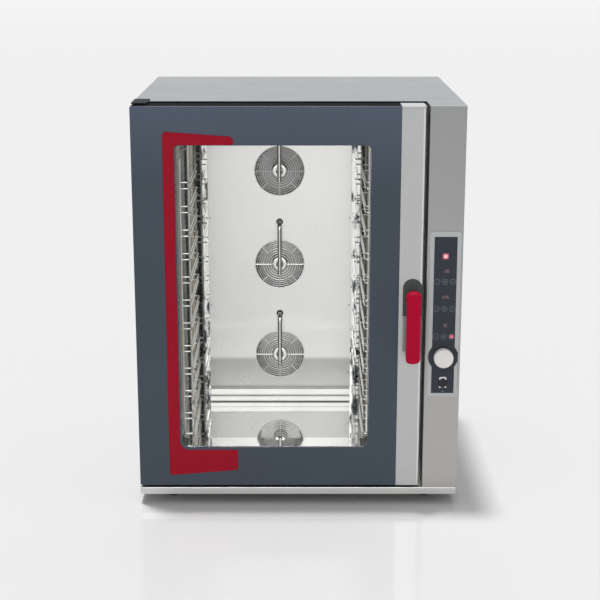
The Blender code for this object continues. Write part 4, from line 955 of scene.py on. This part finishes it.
def hinges():
    """Hinge plates at the left corner, with the heads of the pins."""
    for word, pin, pin_low, look in (
        ("upper", mm((0, 0), (5, 0), (5, 31), (0, 31)), 1.1465, "hinge_black"),
        ("lower", mm((0, 0), (5, 0), (5, 34), (4.5, 34.5), (0, 34.5)), BASE_TOP + 0.002, None),
    ):
        low, high = box_of(f"{word}_hinge_bracket")
        bottom, top = (ROOF + GAP, high[2]) if look else (BASE_TOP + GAP, BASE_TOP + 0.004)
        plate = Shape().prism([oblong(*low[:2], *high[:2], 0.004)], bottom, top, "Z", 0.0003, 0.0008)
        if not look:
            plate.box((low[0] + 0.004, high[1] - 0.003, low[2]), (high[0], high[1], BASE_TOP + 0.003), 0.0004)
        plate.lathe(pin, (PIN_X, PIN_Y, pin_low), UP, 24)
        piece(plate, f"hinge_plate_{word}", "galvanised_steel", f"{word}_hinge_bracket", look)


def water_union():
    x, _, z = middle_of("water_inlet")
    groove, crest, pitch = 12.2, 13.2, 1.4
    thread = [(9, 12), (12.5, 12.5), (crest, 11.8)]
    for turn in range(5):
        thread += [(groove, 11 - turn * pitch), (crest, 10.3 - turn * pitch)]
    body = mm((0, -14), (9, -14), *thread, (12.5, 4), (12.5, -28), (0, -28))
    nut = mm((13.2, 0.3), (17.5, 0.3), (18, 0.8), (18, 3.6), (17.2, 4.2), (13.2, 4.2))
    union = Shape().lathe(body, (x, REAR, z), BACKWARD, 40).lathe(nut, (x, REAR, z), BACKWARD, 6, closed=True)
    piece(union, "water_union", "galvanised_steel", "water_inlet")


def cable_entry():
    x, z = middle_of("cable_gland")[0], middle_of("water_inlet")[2]
    gland = mm((0, -20), (10.2, -20), (10.2, 0.3), (13.5, 0.3), (14.5, 1.2), (14.5, 6), (13.5, 6.8),
               (12.5, 7.2), (11.8, 10.5), (10, 11.5), (6, 11.5), (6, 0), (0, 0))
    body = Shape().lathe(gland, (x, REAR, z), BACKWARD, 36)
    for turn in turns(10):
        spot = Vector((x, REAR + 0.0036, z)) + outward(turn) * 0.0142
        body.lathe(mm((0, -2.8), (1.4, -2.6), (1.4, 2.6), (0, 2.8)), spot, BACKWARD, 8)
    piece(body, "cable_entry", "button_black", "cable_gland")


def exhaust():
    (x, _, z), start = middle_of("vent_pipe"), box_of("vent_pipe")[0][1]
    wall = [(0.0235, start), (0.0250, start), (0.0250, REACH - 0.0022), (0.0246, REACH - 0.0008)]
    wall += [(0.0240, REACH - 0.0002), (0.0235, REACH - 0.0008)]
    pipe = Shape().lathe(wall, (x, 0.0, z), BACKWARD, 56, closed=True)
    piece(pipe, "exhaust_pipe", "galvanised_steel", "vent_pipe")
    ring = mm((25.4, 0.3), (35.5, 0.3), (36, 1), (30, 2.2), (27.5, 4.2), (25.4, 4.6))
    collar = Shape().lathe(ring, (x, REAR, z), BACKWARD, 56, closed=True)
    for turn in turns(4):
        collar.screw(Vector((x, REAR + 0.0016, z)) + outward(turn + pi / 4) * 0.0315, BACKWARD, 0.0022)
    piece(collar, "exhaust_collar", "galvanised_steel")


def cooling_guard():
    def spot(out, level):
        return Vector((COOLING_X, REAR + level, COOLING_Z)) + out

    guard = Shape()
    for radius in (0.010, 0.018, 0.026, 0.034, 0.042):
        guard.hoop(spot(Vector(), 0.0030), radius, 0.0009, 56)
    for turn in turns(4):
        way = outward(turn + pi / 4)
        guard.tube([spot(way * 0.006, 0.0014), spot(way * 0.052, 0.0014)], 0.0009, 8)
        guard.lathe(mm((0, 0), (5.5, 0), (5.5, 1.6), (0, 1.6)), spot(way * 0.0537, 0.0002), BACKWARD, 24)
        guard.screw(spot(way * 0.0537, 0.0020), BACKWARD, 0.0034)
    piece(guard, "cooling_guard_wires", "wire_steel", "cooling_fan_guard")


# ---- door ----

def window_loop(margin=0.0):
    left, low, right, high = WINDOW
    bottom, top = WINDOW_LOW_RADIUS + margin, WINDOW_TOP_RADIUS + margin
    left, low, right, high = left - margin, low - margin, right + margin, high + margin
    return outline((left, low, bottom), (right, low, bottom), (right, high, top), (left, high, top), steps=10)


def band_loop(margin=0.0):
    """The red band: an upright bar with two arms that taper to the right."""
    left, inner = -0.3765, -0.3450
    loop = outline(
        (left, 0.0895, 0.006), (-0.1765, 0.1055, 0.009), (-0.1765, 0.1685, 0.005), (inner, 0.1685, 0.026),
        (inner, 1.0668, 0.014), (-0.1800, 1.0668, 0.006), (-0.1800, 1.0900, 0.013), (left, 1.1045, 0.012),
        steps=8,
    )
    return grown(wound(loop, True), margin)


def glasses():
    """The door's outer glass with its dark print, red band and clear window, and the inner glass."""
    joint, inner = 0.00015, 0.006
    edge = oblong(DOOR_LEFT, DOOR_LOW, GLASS_RIGHT, DOOR_TOP, 0.005)
    inner_edge = face_of(INNER_LOW, INNER_HIGH, 0.005)
    outer_at, inner_at = (FRONT, GLASS_BACK), (INNER_LOW[1], INNER_HIGH[1])
    cut = {"bevel": 0.0001, "steps": 1}
    for name, slot, node, look, loops, levels, shape in (
        # The print lightens towards the door's top: a painted reflection.
        ("door_glass_print", "printed_glass", "door_outer_glass", None,
         [edge, band_loop(joint), window_loop(joint)], outer_at, {"bevel": 0.0008}),
        ("door_glass_band", "printed_glass", None, "band_red", [band_loop(-joint)], outer_at, cut),
        ("door_glass_window", "clear_glass", None, None, [window_loop(-joint)], outer_at, cut),
        ("inner_glass_border", "printed_glass", "door_inner_glass", "display_black",
         [inner_edge, window_loop(inner)], inner_at, {"bevel": 0.0006}),
        ("inner_glass_window", "clear_glass", None, None, [window_loop(inner - joint)], inner_at, cut),
    ):
        piece(Shape().prism(loops, *levels, **shape), name, slot, node, look, "door")


def profile():
    """The door's upright steel channel with rounded folds, its end cap and its gasket."""
    left, front, right, back = PROFILE_LEFT, FRONT, DOOR_RIGHT, DOOR_BACK
    places = [Vector(place) for place in ((left, front), (right, front), (right, back), (left, back))]
    line = [places[0], *corner_arc(*places[:3], 0.008, 10), *corner_arc(*places[1:], 0.003, 5), places[3]]
    channel = Shape().prism([ribbon(line, PLATE)], DOOR_LOW, PROFILE_TOP, "Z", 0.0003)
    drill = mm((0, -500), (7.2, -500), (7.2, 500), (0, 500))
    channel.combined(Shape().lathe(drill, (HANDLE_X, -0.33, HANDLE_Z), BACKWARD, 32))
    # The profile's steel is a little darker towards the top: painted shade.
    made = piece(channel, "door_profile", "brushed_steel", "door_side_profile", "profile_steel", "door")
    # The rounded front corner takes the lighter copy of the steel: a painted highlight.
    made.data.materials.append(LOOKS["corner_steel"])
    for face in made.data.polygons:
        if face.center.x > right - 0.0075 and face.center.y < front + 0.0075:
            face.material_index = 1
    loop = outline((left, front, 0.0015), (right, front, 0.008), (right, back, 0.003), (left, back, 0.0015))
    cap = Shape().prism([loop], PROFILE_TOP + GAP, DOOR_TOP, "Z", 0.0003, 0.0015)
    piece(cap, "profile_cap", "cap_grey", "door_profile_cap", body="door")
    strip = Shape().box((DOOR_LEFT + 0.003, GLASS_BACK + 0.0006, DOOR_TOP - 0.001),
                        (GLASS_RIGHT - 0.002, DOOR_BACK - 0.002, DOOR_TOP + 0.0004), 0.0006)
    piece(strip, "door_top_strip", "silicone", None, "shadow_black", "door")
    sill = Shape().box((WINDOW[0] + 0.018, GLASS_BACK + 0.0006, WINDOW[1] - 0.0003),
                       (WINDOW[2] - 0.018, INNER_LOW[1] - 0.0006, WINDOW[1] + 0.0009), 0.0003)
    piece(sill, "window_sill", "mirror_steel", None, "sill_steel", "door")


def grip():
    """The lever's bar: a flattened section, slimmer towards both rounded ends."""
    low, high = box_of("handle_lever")
    (_, front, bottom), top, back = low, high[2], -0.392
    half, depth = (high[0] - low[0]) / 2, (back - front) / 2
    stations, rings = 60, []
    for station in range(stations + 1):
        z = bottom + (top - bottom) * (0.5 - 0.5 * cos(pi * station / stations))
        end = min(1.0, (z - bottom) / 0.014, (top - z) / 0.018)
        width = max(half * (1 - (1 - end) ** 2.6) ** (1 / 2.6), 0.0002)
        thick = depth * (1 - 0.55 * (1 - end) ** 2.2)
        ring = []
        for turn in turns(48):
            across = abs(cos(turn)) ** 0.42 * (1 if cos(turn) >= 0 else -1)
            deep = abs(sin(turn)) ** 0.55 * (1 if sin(turn) >= 0 else -1)
            ring.append(Vector((HANDLE_X + width * across, front + depth + thick * deep, z)))
        rings.append(ring)
    return Shape().skin(rings)


def handle():
    """The lever, a crowned grip on a flared neck, with its two-part backplate."""
    neck = mm((0, 0), (20.5, 0), (21.4, 1), (21.2, 4), (19.6, 8.5), (17.2, 13), (16, 18), (16, 24), (17, 29),
              (0, 40))
    lever = grip().combined(Shape().lathe(neck, (HANDLE_X, FRONT - 0.0028, HANDLE_Z), FORWARD, 64), "UNION")
    piece(lever, "lever", "lever_red", "handle_lever", None, "handle", 50)

    (left, front, low), (right, back, high) = box_of("handle_backplate")
    radius, split, inset = (right - left) / 2, 0.5755, 0.0015
    dome = arc(left + radius, high - radius, radius, 0, 180, 28)
    loop = [Vector((left, split)), Vector((right, split)), *dome]
    upper = Shape().prism([loop, circle(HANDLE_X, HANDLE_Z, 0.0072, 32)], front, back, "Y", 0.0012, 0.0)
    piece(upper, "backplate_upper", "plate_grey", "handle_backplate", None, "door")
    loop = outline((left + inset, low, 0.003), (right - inset, low, 0.003),
                   (right - inset, split - 0.0004, 0.0), (left + inset, split - 0.0004, 0.0))
    lower = Shape().prism([loop], front + 0.0006, back, "Y", 0.0010, 0.0)
    piece(lower, "backplate_lower", "plate_grey", None, "lower_grey", "door")


# ---- control panel ----

def overlay_loop(margin=0.0):
    """An upright strip that widens to a circle round the knob."""
    left, right, low, high, radius = 0.3835, 0.4475, 0.345, 0.807, 0.043
    half = (right - left) / 2
    turn = degrees(atan2(sqrt(radius**2 - half**2), half))
    loop = [Vector((left, low)), Vector((right, low)), *arc(PANEL_X, KNOB_Z, radius, -turn, turn, 20)]
    loop += [Vector((right, high)), Vector((left, high))]
    loop += arc(PANEL_X, KNOB_Z, radius, 180 - turn, 180 + turn, 20)
    return grown(wound(loop, True), margin)


# The bars of a seven-segment digit, as their ends in halves of its width and height.
BARS = {
    "a": (-1, 1, 1, 1), "g": (-1, 0, 1, 0), "d": (-1, -1, 1, -1),
    "f": (-1, 0, -1, 1), "b": (1, 0, 1, 1), "e": (-1, -1, -1, 0), "c": (1, -1, 1, 0),
}
DIGITS = {"0": "abcdef", "1": "bc", "3": "abgcd", "4": "fgbc", "5": "afgcd", "8": "abcdefg"}


def number(shape, text, x, z, front, face, size=0.0080):
    """A number made of seven-segment digits, centred on x and z."""
    half, tall, thick, pitch = size * 0.25, size * 0.50, size * 0.11, size * 0.78
    trim = thick * 0.65
    start = x - pitch * (len(text) - 1) / 2
    for index, character in enumerate(text):
        middle = start + index * pitch
        for name in DIGITS[character]:
            x0, z0, x1, z1 = BARS[name]
            along, up = (-trim, thick / 2) if z0 == z1 else (thick / 2, -trim)
            low = (middle + x0 * half - along, front, z + z0 * tall - up)
            high = (middle + x1 * half + along, face, z + z1 * tall + up)
            shape.box(low, high, 0.00012, 1)


def panel():
    """The bezel, the dark overlay, and what is printed and lit on it."""
    bezel = Shape().prism([face_of(BEZEL_LOW, BEZEL_HIGH, 0.007), overlay_loop(GAP)],
                          BEZEL_LOW[1], BEZEL_HIGH[1], "Y", 0.0011, 0.0)
    piece(bezel, "panel_bezel", "bezel_grey", "control_bezel")
    loops = [overlay_loop(), circle(PANEL_X, KNOB_Z, 0.0040, 32), circle(PANEL_X, START_Z, 0.0120)]
    face = Shape().prism(loops, OVERLAY_LOW[1], OVERLAY_HIGH[1], "Y", 0.0004, 0.0)
    piece(face, "panel_overlay", "overlay_black", "control_overlay")

    def raised(shape, loops, height=0.0002, bevel=0.0, ground=PANEL_FACE):
        """Something printed or set on the panel, as high as it stands out."""
        return shape.prism(loops, ground - height, ground, "Y", bevel, 0.0)

    glass, digits, front = Shape(), Shape(), PANEL_FACE - 0.0004
    for z, text in ((0.708, "180"), (0.632, "045"), (0.548, "30")):
        raised(glass, [around(PANEL_X, z, 0.015, 0.0085, 0.0012)], 0.0004, 0.0003)
        number(digits, text, PANEL_X + 0.003, z, front - 0.0002, front)
    piece(glass, "display_windows", "overlay_black", look="display_black")
    piece(digits, "display_digits", "lever_red", look="digit_red")

    rings, left, right = Shape(), 0.393, 0.438
    reach, bar = 0.0032, 0.0005
    cross = [(-bar, -reach), (bar, -reach), (bar, -bar), (reach, -bar), (reach, bar), (bar, bar),
             (bar, reach), (-bar, reach), (-bar, bar), (-reach, bar), (-reach, -bar), (-bar, -bar)]
    for z in (0.677, 0.597, 0.515):
        for x in (left, PANEL_X, right):
            raised(rings, [circle(x, z, 0.0085, 40), circle(x, z, 0.0070, 40)])
        raised(rings, [around(left, z, reach, bar)])
        raised(rings, [circle(PANEL_X, z, 0.0028, 24)])
        raised(rings, [[Vector((right + a, z + b)) for a, b in cross]])
    piece(rings, "key_rings", "overlay_black", look="print_faint")

    lamp_z = 0.751
    pink = raised(Shape(), [around(PANEL_X, lamp_z, 0.008, 0.008, 0.003)], 0.0004, 0.0003)
    pink.lathe(mm((0, 0), (5.8, 0), (5.8, 0.3), (0, 0.5)), (right, PANEL_FACE - 0.0002, 0.515), FORWARD, 32)
    piece(pink, "panel_lamps", "lever_red", look="lamp_pink")
    white = raised(Shape(), [around(PANEL_X, lamp_z, 0.0042, 0.0042, 0.0018)], 0.0002, 0.0001, front)
    piece(white, "panel_lamp_centre", "knob_grey", look="lamp_white")

    marks, x, low, high = Shape(), PANEL_X + 0.001, 0.0100, 0.0185
    for path in ([(0.0105, low), (0.0105, high), (-0.0105, high), (-0.0105, low)],
                 [(-0.0105, -low), (-0.0105, -high), (0.0105, -high), (0.0105, -low)]):
        raised(marks, [ribbon([(x + a, START_Z + b) for a, b in path], 0.0046, 0.004)])
    piece(marks, "start_key_brackets", "knob_grey", look="print_white")
    top, tip = START_Z - 0.0235, START_Z - 0.0280
    arrow = raised(Shape(), [[Vector(corner) for corner in ((x - 0.005, top), (x + 0.005, top), (x, tip))]])
    piece(arrow, "start_key_arrow", "knob_grey", look="print_faint")


def knob():
    """A pale turned knob with a rounded rim, a shallow dished face and a finger dimple."""
    rear, front = -0.3695, -0.3895
    turned = mm((0, 15.2), (3.3, 15.2), (3.3, 0), (25.5, 0), (26.5, 0.6), (27.2, 1.8), (28, 3), (28, 15),
                (27.6, 17.2), (26.2, 19.2), (24, 20), (22.2, 19.8), (15, 19), (0, 18.6))
    body = Shape().lathe(turned, (PANEL_X, rear, KNOB_Z), FORWARD, 96)
    dimple = mm((0, -2.2), (2.2, -1.9), (3.8, -0.8), (4.6, 1.2), (0, 3))
    body.combined(Shape().lathe(dimple, (PANEL_X, front + 0.0008, KNOB_Z + 0.0165), FORWARD, 32))
    piece(body, "knob", "knob_grey", "selector_knob", None, "knob")


def start_key():
    back = box_of("start_button")[1][1]
    dome = mm((0, 0), (10.8, 0), (11.5, 0.6), (11.5, 11.8), (11, 13.1), (9.8, 13.8), (7, 13.6), (0, 13))
    key = Shape().lathe(dome, (PANEL_X, back, START_Z), FORWARD, 56)
    piece(key, "start_key_cap", "button_black", "start_button", None, "start_key")


# ---- studio ----

BACKGROUND = (0.871, 0.871, 0.871)
SURROUNDINGS = (0.44, 0.44, 0.445)
FLOOR_COLOUR = (0.815, 0.815, 0.817)


def surroundings():
    """An even grey light all round, and a pale background for the camera, for metal and for glass."""
    world = bpy.data.worlds.new("studio")
    world.use_nodes = True
    bpy.context.scene.world = world
    tree = world.node_tree
    rays = node_in(tree, "ShaderNodeLightPath").outputs
    seen = rays["Is Camera Ray"]
    for way in ("Is Glossy Ray", "Is Transmission Ray"):
        seen = node_in(tree, "ShaderNodeMath", {0: seen, 1: rays[way]}, operation="MAXIMUM").outputs[0]
    mix = node_in(tree, "ShaderNodeMix", {"Factor": seen, 6: SURROUNDINGS, 7: BACKGROUND}, data_type="RGBA")
    tree.links.new(mix.outputs[2], tree.nodes["Background"].inputs["Color"])
    tree.nodes["Background"].inputs["Strength"].default_value = 1.0


def floor():
    look = Look("floor", Specular_IOR_Level=0.14, Roughness=0.12)
    look.set(Base_Color=look.clouds(look.noise(6, 3), FLOOR_COLOUR, 0.998, 1.002))
    mesh = bpy.data.meshes.new("floor")
    reach = 90.0
    corners = [(x * reach, y * reach, 0) for x, y in ((-1, -1), (1, -1), (1, 1), (-1, 1))]
    mesh.from_pydata(corners, [], [(0, 1, 2, 3)])
    mesh.materials.append(look.material)
    sheet = placed("floor", mesh)
    return sheet


def keep_dark(lamp, name, items):
    """Stops a lamp from lighting some objects."""
    unlit = bpy.data.collections.new(name)
    for item in items:
        unlit.objects.link(item)
    for entry in unlit.collection_objects:
        entry.light_linking.link_state = "EXCLUDE"
    lamp.light_linking.receiver_collection = unlit


def lights(ground):
    """A key sun from overhead, a weaker sun from the front, and a soft light just inside the cavity's mouth.

    The key sun is hidden from glossy rays, because steel would reflect it as a white patch. The inner light
    rides on the door, because the open cavity is lit by the studio.
    """
    suns = {}
    for name, energy, angle, towards in (
        ("key", 2.0, 5, (0.08, -0.075, -1.0)),
        ("front", 0.80, 12, (0.05, 1.0, -0.70)),
    ):
        light = bpy.data.lights.new(name, "SUN")
        light.energy, light.angle = energy, radians(angle)
        suns[name] = placed(name, light)
        suns[name].rotation_euler = Vector(towards).to_track_quat("-Z", "Y").to_euler()
    suns["key"].visible_glossy = False
    keep_dark(suns["front"], "not_lit_from_the_front", [ground, *CAVITY_SHEETS])

    light = bpy.data.lights.new("cavity_light", "AREA")
    light.shape, light.size, light.size_y = "RECTANGLE", 0.56, 0.86
    light.spread, light.energy = radians(110), 0.62
    inside = placed("cavity_light", light)
    inside.location = (CAVITY_X, MOUTH + 0.006, 0.605)
    inside.rotation_euler = (radians(90), 0, 0)
    inside.visible_camera = False
    keep_dark(inside, "not_lit_from_inside", [ground])
    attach(inside, "door")


def camera():
    lens = bpy.data.cameras.new("camera")
    lens.sensor_width, lens.lens, lens.clip_end = 36.0, 77.81, 300.0
    lens.shift_x, lens.shift_y = 0.002, -0.09
    view = placed("camera", lens)
    view.location = (0.0015, -3.915, 1.6215)
    view.rotation_euler = (radians(76.674), 0.0, 0.0)
    bpy.context.scene.camera = view
    bpy.context.scene.view_settings.view_transform = "Standard"


def dress_nodes():
    """Every CAD node that still shows takes its finish from its own slot, and the cavity's liner its own."""
    for node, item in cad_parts.items():
        for holder in item.material_slots:
            name = holder.material.name.split(".")[0]
            holder.material = LOOKS["liner_steel" if node == "cavity_liner" else name]


for make in (
    dress_nodes, roof, side_panels, back_sheet, column, base, feet,
    seal, baffle, guards, steam_pipes, heaters, wheels, racks, strainer, lamp,
    hinges, water_union, cable_entry, exhaust, cooling_guard,
    glasses, profile, handle, panel, knob, start_key, surroundings,
):
    make()
lights(floor())
camera()
